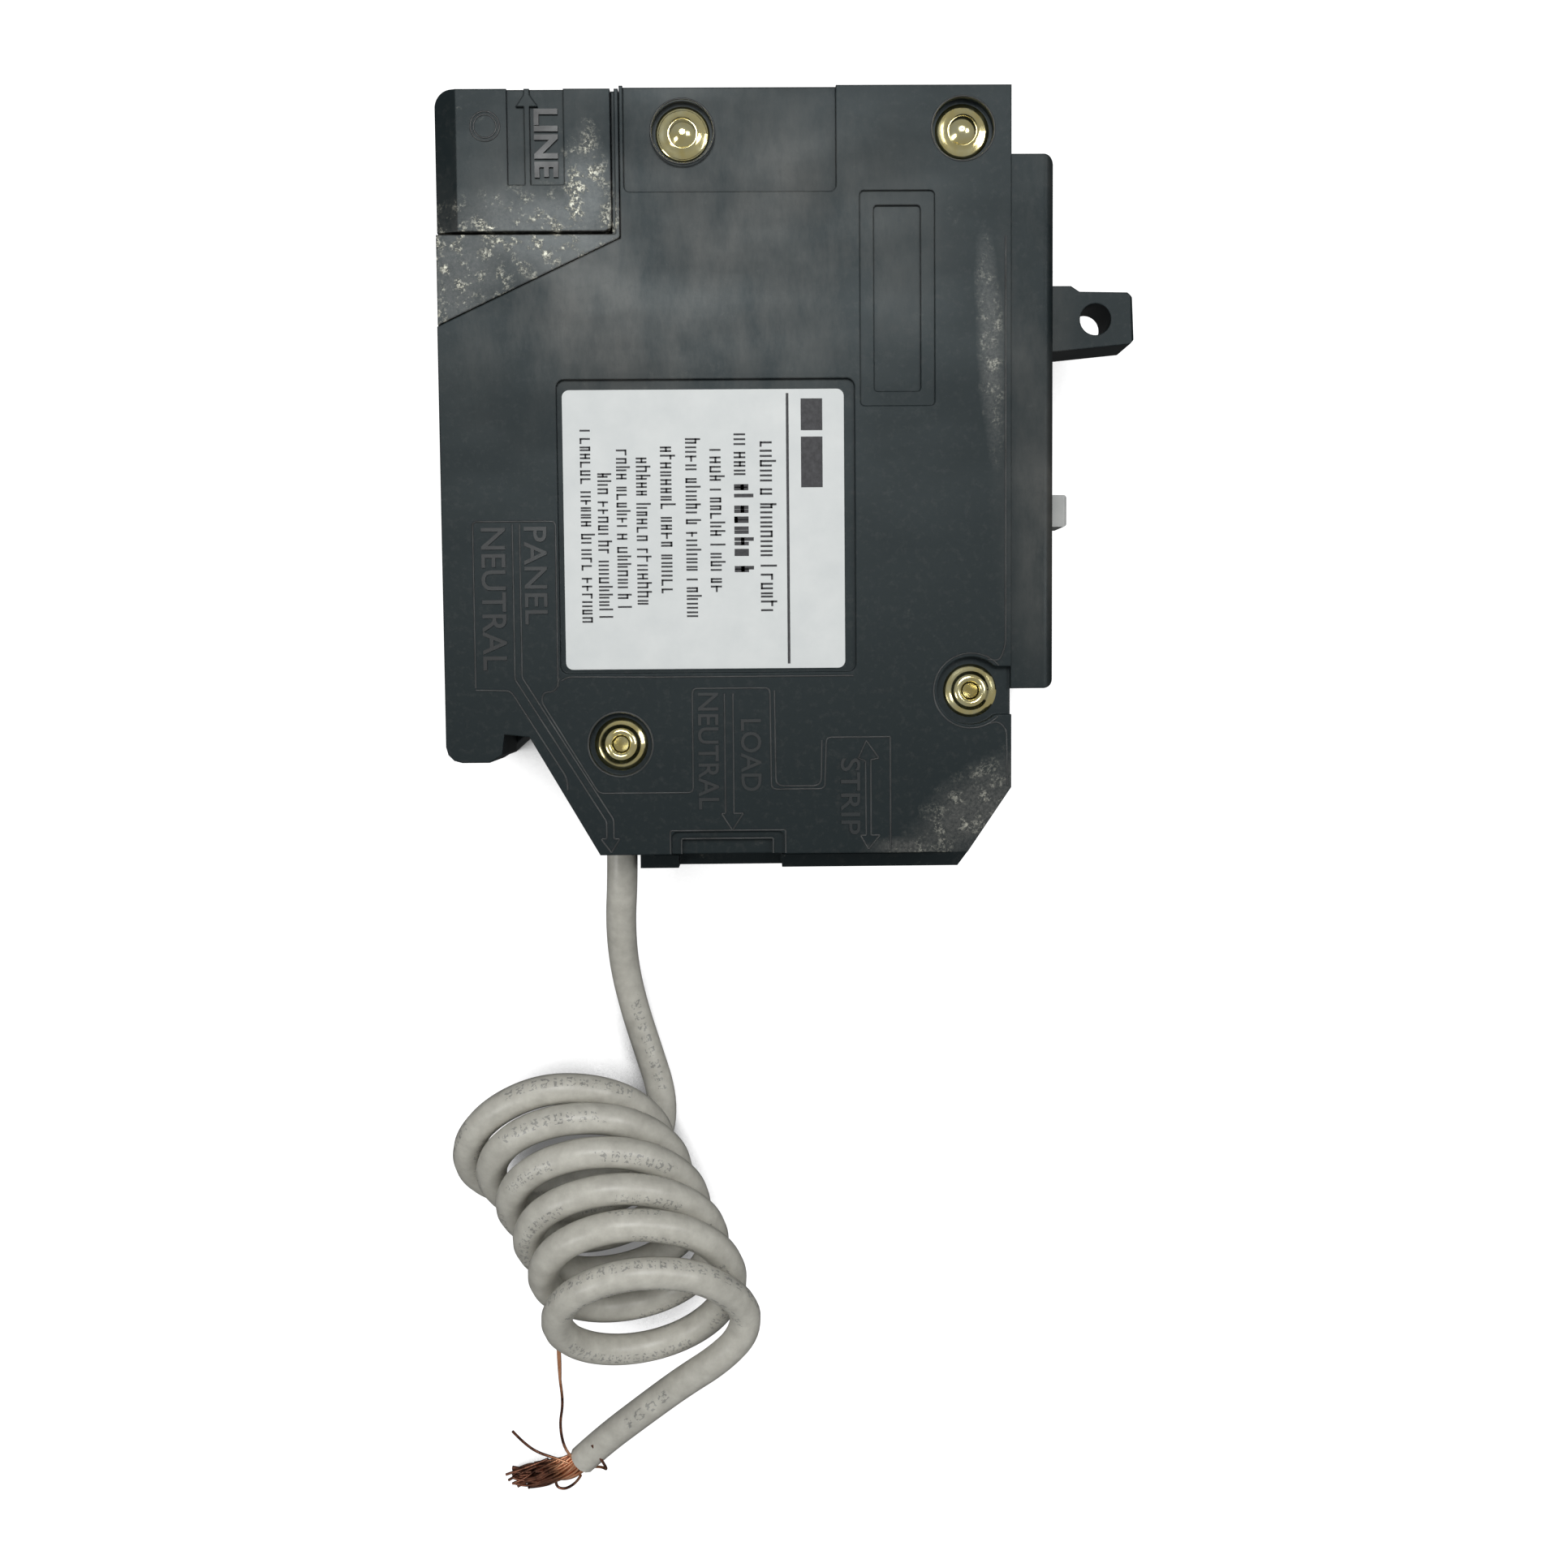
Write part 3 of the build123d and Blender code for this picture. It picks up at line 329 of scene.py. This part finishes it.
def painted_highlight_black(name, painted_highlight_colour):
    """The same molding on its thin raised lines and letters, painted paler to stand for the highlights on
    their edges, and smoother.
    """
    material, tree, shader = new_material(name)
    highlight_mottle = noise(tree, place(tree), 260, 4, 0.6)
    colour = ramp(tree, highlight_mottle, 0.35, 0.7, [c * 0.4 for c in painted_highlight_colour], painted_highlight_colour)
    tree.links.new(colour, shader.inputs["Base Color"])
    tree.links.new(span(tree, highlight_mottle, 0.3, 0.7, 0.42, 0.3), shader.inputs["Roughness"])
    return material


def rivet_brass():
    """Yellow plated steel, turned bright, with a faint fine grain and stains."""
    material, tree, shader = new_material("rivet_brass")
    where = place(tree)
    stain = noise(tree, where, 520, 4, 0.6)
    colour = ramp(tree, stain, 0.35, 0.7, (0.80, 0.68, 0.30), (0.78, 0.74, 0.46))
    tree.links.new(colour, shader.inputs["Base Color"])
    shader.inputs["Metallic"].default_value = 1.0
    rough = span(tree, stain, 0.3, 0.7, 0.10, 0.2)
    tree.links.new(rough, shader.inputs["Roughness"])
    bump(tree, shader, noise(tree, where, 2600, 2), 0.01 * MM, 0.3)
    return material


def label_film():
    """Pale printed film with a soft mottle."""
    material, tree, shader = new_material("label_film")
    where = place(tree)
    mottle = noise(tree, where, 260, 5, 0.6)
    colour = ramp(tree, mottle, 0.3, 0.75, (0.62, 0.645, 0.64), (0.69, 0.71, 0.70))
    tree.links.new(colour, shader.inputs["Base Color"])
    shader.inputs["Roughness"].default_value = 0.5
    bump(tree, shader, noise(tree, where, 900, 3), 0.012 * MM, 0.4)
    return material


def printed_ink():
    material, tree, shader = new_material("printed_ink")
    fade = noise(tree, place(tree), 1800, 3, 0.6)
    colour = ramp(tree, fade, 0.3, 0.75, (0.012, 0.012, 0.014), (0.045, 0.045, 0.05))
    tree.links.new(colour, shader.inputs["Base Color"])
    shader.inputs["Roughness"].default_value = 0.55
    return material


def light_plastic():
    material, tree, shader = new_material("light_plastic")
    where = place(tree)
    tint = noise(tree, where, 300, 3)
    colour = ramp(tree, tint, 0.3, 0.7, (0.37, 0.38, 0.37), (0.45, 0.455, 0.44))
    tree.links.new(colour, shader.inputs["Base Color"])
    shader.inputs["Roughness"].default_value = 0.42
    bump(tree, shader, noise(tree, where, 1600, 2), 0.012 * MM, 0.3)
    return material


def wire_insulation():
    """Off-white extruded insulation with dust and a faint, broken row of grey print marks along it."""
    material, tree, shader = new_material("wire_insulation")
    where = place(tree)
    dust = noise(tree, where, 520, 5, 0.65)
    colour = ramp(tree, dust, 0.30, 0.74, (0.44, 0.425, 0.375), (0.60, 0.585, 0.52))
    coords = add(tree, "ShaderNodeTexCoord")
    split = add(tree, "ShaderNodeSeparateXYZ")
    tree.links.new(coords.outputs["UV"], split.inputs["Vector"])
    along = combine(tree, "MULTIPLY", split.outputs["X"], MARKED_LENGTH)
    bands = []
    for row in (0.12, 0.45, 0.79):
        band = combine(tree, "COMPARE", split.outputs["Y"], row)
        band.node.inputs[2].default_value = 0.055
        bands.append(band)
    place_in_pitch = combine(tree, "FRACT", combine(tree, "DIVIDE", along, MARK_PITCH), 0)
    filled = combine(tree, "LESS_THAN", place_in_pitch, 0.68)
    spot = add(tree, "ShaderNodeCombineXYZ")
    tree.links.new(along, spot.inputs["X"])
    tree.links.new(combine(tree, "MULTIPLY", split.outputs["Y"], CORD_AROUND), spot.inputs["Y"])
    strokes = combine(tree, "GREATER_THAN", noise(tree, spot.outputs["Vector"], 2.6, 2, 0.6), 0.53)
    groups = combine(tree, "GREATER_THAN", noise(tree, spot.outputs["Vector"], 0.08, 1, 0.4), 0.49)
    marks = combine(tree, "MULTIPLY", together(tree, bands), filled)
    marks = combine(tree, "MULTIPLY", marks, combine(tree, "MULTIPLY", strokes, groups))
    ink = ramp(tree, dust, 0.3, 0.7, (0.10, 0.10, 0.10), (0.26, 0.26, 0.25))
    faded = combine(tree, "MULTIPLY", marks, 0.62)
    tree.links.new(blend_colours(tree, faded, colour, ink), shader.inputs["Base Color"])
    shader.inputs["Roughness"].default_value = 0.36
    shader.inputs["Subsurface Weight"].default_value = 0.02
    shader.inputs["Subsurface Radius"].default_value = (0.0012, 0.0011, 0.0009)
    bump(tree, shader, noise(tree, where, 1400, 3), 0.015 * MM, 0.35)
    return material


def strand_copper():
    """Bare copper wire: bright where it was just stripped, browned and dark towards the tips."""
    material, tree, shader = new_material("strand_copper")
    tone = noise(tree, place(tree), 620, 3, 0.6)
    at_cut = patch(tree, (-20.4, -122.3, 5.2), (5.0, 4.6, 5.0))
    at_stray = patch(tree, (-22.1, -106.5, 9.5), (2, 7, 4))
    fresh = together(tree, [at_cut, at_stray])
    blotched = combine(tree, "ADD", fresh, combine(tree, "MULTIPLY", tone, 0.5))
    share = span(tree, blotched, 0.32, 0.75, 0.0, 1.0)
    dark = ramp(tree, tone, 0.35, 0.68, (0.06, 0.028, 0.02), (0.36, 0.15, 0.09))
    bright = ramp(tree, tone, 0.3, 0.7, (0.62, 0.26, 0.12), (0.88, 0.47, 0.28))
    tree.links.new(blend_colours(tree, share, dark, bright), shader.inputs["Base Color"])
    shader.inputs["Metallic"].default_value = 0.85
    tree.links.new(span(tree, tone, 0.3, 0.7, 0.24, 0.4), shader.inputs["Roughness"])
    return material


def metal(name, dark, light, rough, scale=600):
    """A metal with brushed marks and a slight stain."""
    material, tree, shader = new_material(name)
    marks = noise(tree, place(tree, (1, 9, 1)), scale, 4, 0.6)
    tree.links.new(ramp(tree, marks, 0.3, 0.7, dark, light), shader.inputs["Base Color"])
    shader.inputs["Metallic"].default_value = 1.0
    tree.links.new(span(tree, marks, 0.3, 0.7, rough, rough + 0.14), shader.inputs["Roughness"])
    bump(tree, shader, marks, 0.008 * MM, 0.3)
    return material


def matte(name, dark, light, rough, scale=700):
    material, tree, shader = new_material(name)
    where = place(tree)
    mottle = noise(tree, where, scale, 4, 0.6)
    tree.links.new(ramp(tree, mottle, 0.3, 0.7, dark, light), shader.inputs["Base Color"])
    shader.inputs["Roughness"].default_value = rough
    bump(tree, shader, mottle, 0.01 * MM, 0.3)
    return material


def winding_wire():
    """Turns of enamelled wire lying side by side."""
    material, tree, shader = new_material("winding_wire")
    turns = add(tree, "ShaderNodeTexWave", bands_direction="X")
    turns.inputs["Scale"].default_value = 420
    turns.inputs["Distortion"].default_value = 0.6
    tree.links.new(place(tree), turns.inputs["Vector"])
    colour = ramp(tree, turns.outputs["Fac"], 0.1, 0.8, (0.16, 0.045, 0.015), (0.62, 0.25, 0.10))
    tree.links.new(colour, shader.inputs["Base Color"])
    shader.inputs["Metallic"].default_value = 0.7
    shader.inputs["Roughness"].default_value = 0.3
    bump(tree, shader, turns.outputs["Fac"], 0.1 * MM, 0.6)
    return material


def make_materials():
    made = {
        "molding": molded_black("molded_case", CASE_SCUFF_SHEEN, 1.0),
        "rivet": rivet_brass(),
        "label": label_film(),
        "light_plastic": light_plastic(),
        "copper": metal("bare_copper", (0.55, 0.24, 0.12), (0.80, 0.42, 0.26), 0.26),
        "steel": metal("plated_steel", (0.42, 0.42, 0.41), (0.62, 0.62, 0.60), 0.28),
        "contact_silver": metal("contact_silver", (0.68, 0.67, 0.64), (0.84, 0.83, 0.80), 0.3),
        "fibre": matte("fibre_board", (0.16, 0.05, 0.03), (0.26, 0.09, 0.05), 0.7),
        "bimetal": metal("bimetal_strip", (0.50, 0.47, 0.42), (0.66, 0.62, 0.56), 0.32),
        "circuit": matte("solder_mask", (0.01, 0.09, 0.035), (0.02, 0.14, 0.05), 0.35),
        "ferrite": matte("ferrite", (0.02, 0.02, 0.022), (0.05, 0.05, 0.055), 0.6),
        "winding": winding_wire(),
        "bobbin": matte("bobbin_nylon", (0.62, 0.60, 0.52), (0.72, 0.70, 0.62), 0.45),
        "component": matte("epoxy_package", (0.012, 0.012, 0.014), (0.03, 0.03, 0.034), 0.4),
        "insulation": wire_insulation(),
    }
    made["cover"] = molded_black("molded_cover", COVER_SCUFF_SHEEN, 0.3)
    made["ink"] = printed_ink()
    # The raised lines and letters are painted paler than the face, standing for the highlights on their
    # edges.
    made["contour"] = painted_highlight_black("contour_black", (0.042, 0.046, 0.046))
    made["letters"] = painted_highlight_black("letter_black", (0.015, 0.020, 0.021))
    made["strand"] = strand_copper()
    return made


def dress_cad(materials):
    """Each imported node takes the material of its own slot."""
    for entry in frame["record"]["subparts"]:
        thing = frame["nodes"][entry["node"]]
        for holder in thing.material_slots:
            holder.material = materials[entry["material_slot"]]
    for holder in frame["nodes"]["cover"].material_slots:
        holder.material = materials["cover"]


# ---------------------------------------------------------------- pigtail

def at_turn(turns):
    """The coil's centre and radius after this many turns."""
    first = min(max(int(turns - 0.5), 0), len(TURNS) - 2)
    share = turns - 0.5 - first
    x, y, z, radius = [a + (b - a) * share for a, b in zip(TURNS[first], TURNS[first + 1])]
    return Vector((x, y, z)), radius


def coil_points():
    """The turns of the coil from its first lower arc to the right side of its last turn."""
    twist, tilt = math.radians(COIL_TWIST), math.radians(COIL_TILT)
    across = Vector((math.cos(twist), math.sin(twist), 0))
    up = Vector((-math.sin(twist) * math.cos(tilt), math.cos(twist) * math.cos(tilt), math.sin(tilt)))
    count = int((COIL_TURNS - 0.35) * POINTS_PER_TURN)
    points = []
    for i in range(count + 1):
        turns = i / POINTS_PER_TURN
        angle = -math.pi / 2 - 2 * math.pi * turns
        center, radius = at_turn(turns)
        if turns < 0.5:
            center.y -= FIRST_SAG * math.sin(2 * math.pi * turns)
        points.append(center + radius * (math.cos(angle) * across + math.sin(angle) * up))
    return points


def spline_through(name, points, radius):
    """An open NURBS curve with these control points, in millimetres, and a round section."""
    data = bpy.data.curves.new(name, "CURVE")
    data.dimensions = "3D"
    data.bevel_depth = radius * MM
    data.bevel_resolution = 5
    data.use_fill_caps = True
    data.resolution_u = 6
    line = data.splines.new("NURBS")
    line.points.add(len(points) - 1)
    for holder, point in zip(line.points, points):
        holder.co = (point[0] * MM, point[1] * MM, point[2] * MM, 1)
    line.order_u = 3
    line.use_endpoint_u = True
    thing = bpy.data.objects.new(name, data)
    bpy.context.scene.collection.objects.link(thing)
    return thing


def route_length(thing):
    bare = bpy.data.objects.new("bare", thing.data.copy())
    bare.data.bevel_depth = 0
    mesh = bpy.data.meshes.new_from_object(bare)
    spots = [v.co.copy() for v in mesh.vertices]
    bpy.data.meshes.remove(mesh)
    bpy.data.objects.remove(bare)
    return sum((b - a).length for a, b in zip(spots, spots[1:]))


def make_pigtail(materials):
    points = [Vector(p) for p in LEAD] + coil_points() + [Vector(p) for p in TAIL]
    cord = spline_through("pigtail", points, CORD_RADIUS)
    cord.data.materials.append(materials["insulation"])
    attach(cord, "case")
    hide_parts("pigtail_lead", "pigtail_coil", "pigtail_tail")
    strands = make_strands(materials)
    length = route_length(cord)


def strand_curve(name, radius):
    data = bpy.data.curves.new(name, "CURVE")
    data.dimensions = "3D"
    data.bevel_depth = radius * MM
    data.bevel_resolution = 2
    data.use_fill_caps = True
    data.resolution_u = 5
    return data


def make_strands(materials):
    """The bare copper strands: a twisted bundle that leaves the insulation, bends over and frays."""
    chance = random.Random(11)
    end = Vector(TAIL[-1])
    way = (end - Vector(TAIL[-2])).normalized()
    data = strand_curve("pigtail_ends", 0.18)
    centers = [end - way * 1.6, end + way * 0.5] + [Vector(p) for p in BUNDLE]
    for i in range(38):
        ring = math.sqrt((i + 0.5) / 38)
        angle = i * 2.39996
        last = chance.choice((4, 5, 5, 6, 6))
        points = []
        for k, center in enumerate(centers[:last + 1]):
            ahead = centers[min(k + 1, len(centers) - 1)] - centers[max(k - 1, 0)]
            side = ahead.cross(Vector((0, 0, 1))).normalized()
            rise = side.cross(ahead).normalized()
            wide, tall = BUNDLE_WIDTH[k]
            turned = angle + 0.42 * k
            loose = 0.10 * k
            point = center + side * (wide * ring * math.cos(turned) + chance.uniform(-loose, loose))
            point += rise * (tall * ring * math.sin(turned) + chance.uniform(-loose, loose) * 0.6)
            point.z = max(point.z, 0.3)
            points.append(point)
        add_strand(data, points)
    for points in STRAYS:
        add_strand(data, [Vector(p) for p in points])
    thing = bpy.data.objects.new("pigtail_ends", data)
    bpy.context.scene.collection.objects.link(thing)
    data.materials.append(materials["strand"])
    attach(thing, "case")
    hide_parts("pigtail_strands")
    return thing


BUNDLE = [
    (-21.9, -123.1, 4.5), (-23.8, -124.0, 3.4), (-25.7, -124.9, 2.2), (-27.5, -125.5, 1.3),
    (-29.3, -125.7, 0.9),
]
BUNDLE_WIDTH = [(1.25, 1.25), (1.3, 1.2), (1.45, 1.0), (1.5, 0.9), (1.5, 0.8), (1.35, 0.7), (1.2, 0.5)]
STRAYS = [
    [(-20.2, -122.0, 5.6), (-21.8, -120.6, 6.2), (-22.5, -116.3, 7.5), (-21.8, -112.8, 8.5),
     (-22.2, -109.0, 9.2), (-22.2, -104.9, 10.0)],
    [(-22.1, -109.6, 9.1), (-22.0, -107.5, 9.3), (-22.0, -105.4, 10.1)],
    [(-20.6, -122.4, 5.4), (-22.9, -121.4, 5.5), (-25.6, -120.5, 5.5), (-27.4, -118.8, 6.0),
     (-28.5, -117.3, 6.4)],
    [(-20.2, -124.0, 4.6), (-20.8, -125.4, 3.5), (-22.6, -127.1, 2.0), (-23.9, -126.6, 1.8),
     (-23.5, -125.0, 2.6)],
    [(-18.3, -118.3, 8.5), (-17.4, -120.0, 8.2), (-16.5, -122.2, 7.2), (-17.4, -122.4, 5.6),
     (-18.6, -122.9, 4.6)],
    [(-24.5, -122.4, 3.2), (-27.4, -124.0, 2.2), (-30.1, -125.0, 1.9)],
    [(-25.5, -125.4, 1.7), (-27.8, -126.6, 0.7), (-28.8, -127.3, 0.4)],
    [(-26.0, -123.6, 2.6), (-28.2, -124.9, 1.6), (-29.9, -126.2, 0.9)],
]


def add_strand(data, points):
    line = data.splines.new("NURBS")
    line.points.add(len(points) - 1)
    for holder, point in zip(line.points, points):
        holder.co = (point[0] * MM, point[1] * MM, point[2] * MM, 1)
    line.order_u = 3
    line.use_endpoint_u = True


# ---------------------------------------------------------------- molded lines, words and label print

def rounded(points, radius):
    """The points of an open line with its corners rounded."""
    path = [Vector(points[0])]
    for before, here, after in zip(points, points[1:], points[2:]):
        here, back, ahead = Vector(here), Vector(before) - Vector(here), Vector(after) - Vector(here)
        reach = min(radius, back.length * 0.45, ahead.length * 0.45)
        start, stop = here + back.normalized() * reach, here + ahead.normalized() * reach
        for i in range(5):
            t = i / 4
            path.append(start * (1 - t) ** 2 + here * 2 * t * (1 - t) + stop * t**2)
    path.append(Vector(points[-1]))
    return path


def ring_points(x, y, radius, first=0.0, last=360.0):
    steps = 40
    angles = [math.radians(first + (last - first) * i / steps) for i in range(steps + 1)]
    return [Vector((x + radius * math.cos(a), y + radius * math.sin(a))) for a in angles]


def make_contours(materials):
    """The thin raised lines that outline the areas, arrows and counterbores of the near face."""
    data = bpy.data.curves.new("molded_lines", "CURVE")
    data.dimensions = "3D"
    data.bevel_depth = 0.11 * MM
    data.bevel_resolution = 2
    paths = [rounded(points, radius) for radius, points in CONTOURS + ARROWS]
    paths += [ring_points(*ring) for ring in RINGS]
    paths.append(ring_points(*LIP_RING, 42.0, 316.0))
    for path in paths:
        line = data.splines.new("POLY")
        line.points.add(len(path) - 1)
        for holder, point in zip(line.points, path):
            holder.co = (point.x * MM, point.y * MM, (FACE - 0.02) * MM, 1)
    thing = bpy.data.objects.new("molded_lines", data)
    bpy.context.scene.collection.objects.link(thing)
    data.materials.append(materials["contour"])
    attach(thing, "case")


def make_words(materials):
    """The raised words that name the terminals, reading down the face with their tops to the nose."""
    for number, (text, inner, outer, start, stop) in enumerate(WORDS):
        data = bpy.data.curves.new("word", "FONT")
        data.body = text
        data.size = 1.0
        data.extrude = 0.02
        data.offset = 0.032 if text == "LINE" else 0.008
        data.resolution_u = 4
        draft = bpy.data.objects.new("word", data)
        mesh = bpy.data.meshes.new_from_object(draft)
        bpy.data.objects.remove(draft)
        xs = [v.co.x for v in mesh.vertices]
        ys = [v.co.y for v in mesh.vertices]
        along = (start - stop) / (max(xs) - min(xs))
        across = (outer - inner) / (max(ys) - min(ys))
        base, rise = (FACE - 0.4, 0.3) if text == "LINE" else (FACE, 0.16)
        for vertex in mesh.vertices:
            x, y, z = vertex.co
            height = base + (rise if z > 0 else -0.05)
            spot = (inner + (y - min(ys)) * across, start - (x - min(xs)) * along, height)
            vertex.co = Vector(spot) * MM
        name = f"raised_word_{number + 1}"
        thing = bpy.data.objects.new(name, mesh)
        bpy.context.scene.collection.objects.link(thing)
        mesh.materials.append(materials["letters"])
        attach(thing, "case")


def bar(corners, faces, x0, x1, y0, y1):
    """Adds one flat printed bar to the lists of corners and faces."""
    low, high = LABEL_FACE - 0.01, LABEL_FACE + 0.012
    first = len(corners)
    for z in (low, high):
        for x, y in ((x0, y0), (x1, y0), (x1, y1), (x0, y1)):
            corners.append((x * MM, y * MM, z * MM))
    for face in ((4, 5, 6, 7), (0, 1, 5, 4), (1, 2, 6, 5), (2, 3, 7, 6), (3, 0, 4, 7)):
        faces.append(tuple(first + i for i in face))


def make_print(materials):
    """The label's print: rows of plain ticks that stand for small type, a rule and two plain blocks."""
    chance = random.Random(5)
    corners, faces = [], []
    for x, start, stop, height, thick in PRINT_LINES:
        y = start
        left = chance.randint(3, 8)
        while y > stop + 0.5:
            tall = height * chance.choice((1.0, 1.0, 1.0, 1.35))
            wide = height * chance.uniform(0.42, 0.6)
            bar(corners, faces, x, x + tall, y - thick, y)
            if chance.random() < 0.75:
                bar(corners, faces, x, x + height, y - wide, y - wide + thick)
            if chance.random() < 0.5:
                rise = chance.choice((0.0, 0.45, 0.85)) * height
                bar(corners, faces, x + rise, x + rise + thick, y - wide, y)
            y -= wide + height * 0.24
            left -= 1
            if left == 0:
                y -= height * 0.45
                left = chance.randint(3, 8)
    bar(corners, faces, 6.65, 6.95, -21.0, 9.0)
    bar(corners, faces, 8.3, 10.7, 4.9, 8.4)
    bar(corners, faces, 8.3, 10.7, -1.4, 4.2)
    mesh = bpy.data.meshes.new("label_print")
    mesh.from_pydata(corners, [], faces)
    thing = bpy.data.objects.new("label_print", mesh)
    bpy.context.scene.collection.objects.link(thing)
    mesh.materials.append(materials["ink"])
    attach(thing, "case")


# ---------------------------------------------------------------- springs and braid

def flexible_copy(node, slot, materials):
    """A copy of a CAD node's mesh, in place, that stands for the node, which is hidden."""
    source = frame["nodes"][node]
    mesh = source.data.copy()
    mesh.transform(source.matrix_world)
    thing = bpy.data.objects.new(node + "_flexible", mesh)
    bpy.context.scene.collection.objects.link(thing)
    for holder in thing.material_slots:
        holder.material = materials[slot]
    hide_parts(node)
    return thing


def make_springs(materials):
    """Copies stand for the springs and the braid: the pressed springs are attached to the case, and the
    others stay where they are, attached to no body.
    """
    bpy.context.view_layer.update()
    for node, joint, seat, keep in PRESSED_SPRINGS:
        spring = flexible_copy(node, "steel", materials)
        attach(spring, "case")
        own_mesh(spring)
    for node, slot, body, start, end in FOLLOWERS:
        follower = flexible_copy(node, slot, materials)
        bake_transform(follower)


# ---------------------------------------------------------------- floor and light

def make_floor():
    bpy.ops.mesh.primitive_plane_add(size=8, location=(0, 0, -0.0002))
    floor = bpy.context.object
    floor.name = "floor"
    material, tree, shader = new_material("floor_white")
    shader.inputs["Base Color"].default_value = (0.25, 0.25, 0.25, 1)
    shader.inputs["Roughness"].default_value = 0.9
    shader.inputs["Emission Color"].default_value = (1, 1, 1, 1)
    # Painted shade: the floor's glow is dimmed where the ambient occlusion is high, and a painted shadow
    # under the coil darkens the gaps between its turns.
    covered = add(tree, "ShaderNodeAmbientOcclusion", samples=8)
    covered.inputs["Distance"].default_value = 0.03
    painted_coil_shadow = combine(tree, "MULTIPLY", patch(tree, (-16.2, -89.5, 0), (13.5, 24, 10), 30), 0.9)
    lit = combine(tree, "SUBTRACT", covered.outputs["AO"], painted_coil_shadow)
    tree.links.new(span(tree, lit, 0.26, 0.48, 0.10, 1.0), shader.inputs["Emission Strength"])
    floor.data.materials.append(material)
    floor.visible_diffuse = False
    floor.visible_glossy = False


def area_light(name, where, target, size, power):
    data = bpy.data.lights.new(name, "AREA")
    data.shape = "RECTANGLE"
    data.size, data.size_y = size
    data.energy = power
    lamp = bpy.data.objects.new(name, data)
    lamp.location = where
    lamp.rotation_mode = "QUATERNION"
    lamp.rotation_quaternion = (Vector(target) - Vector(where)).to_track_quat("-Z", "Y")
    bpy.context.scene.collection.objects.link(lamp)


def make_world():
    """A bright surrounding that is dimmer below the horizon."""
    world = bpy.data.worlds.new("studio")
    bpy.context.scene.world = world
    world.use_nodes = True
    tree = world.node_tree
    coords = add(tree, "ShaderNodeTexCoord")
    split = add(tree, "ShaderNodeSeparateXYZ")
    tree.links.new(coords.outputs["Generated"], split.inputs["Vector"])
    strength = span(tree, split.outputs["Z"], -0.35, 0.25, 0.07, 0.32)
    background = tree.nodes["Background"]
    background.inputs["Color"].default_value = (0.97, 0.99, 1.0, 1)
    tree.links.new(strength, background.inputs["Strength"])


def make_light():
    make_world()
    area_light("overhead", (-0.03, 0.22, 0.72), (0, 0, 0), (0.26, 0.22), 2.1)
    area_light("left", (-0.50, -0.25, 0.50), (0, -0.06, 0), (0.2, 0.2), 0.9)
    area_light("right", (0.42, 0.10, 0.62), (0.02, 0, 0), (0.24, 0.24), 1.3)
    bpy.context.scene.view_settings.view_transform = "Standard"


make_camera()
materials = make_materials()
make_pigtail(materials)
make_contours(materials)
make_words(materials)
make_print(materials)
dress_cad(materials)
make_springs(materials)
make_floor()
make_light()
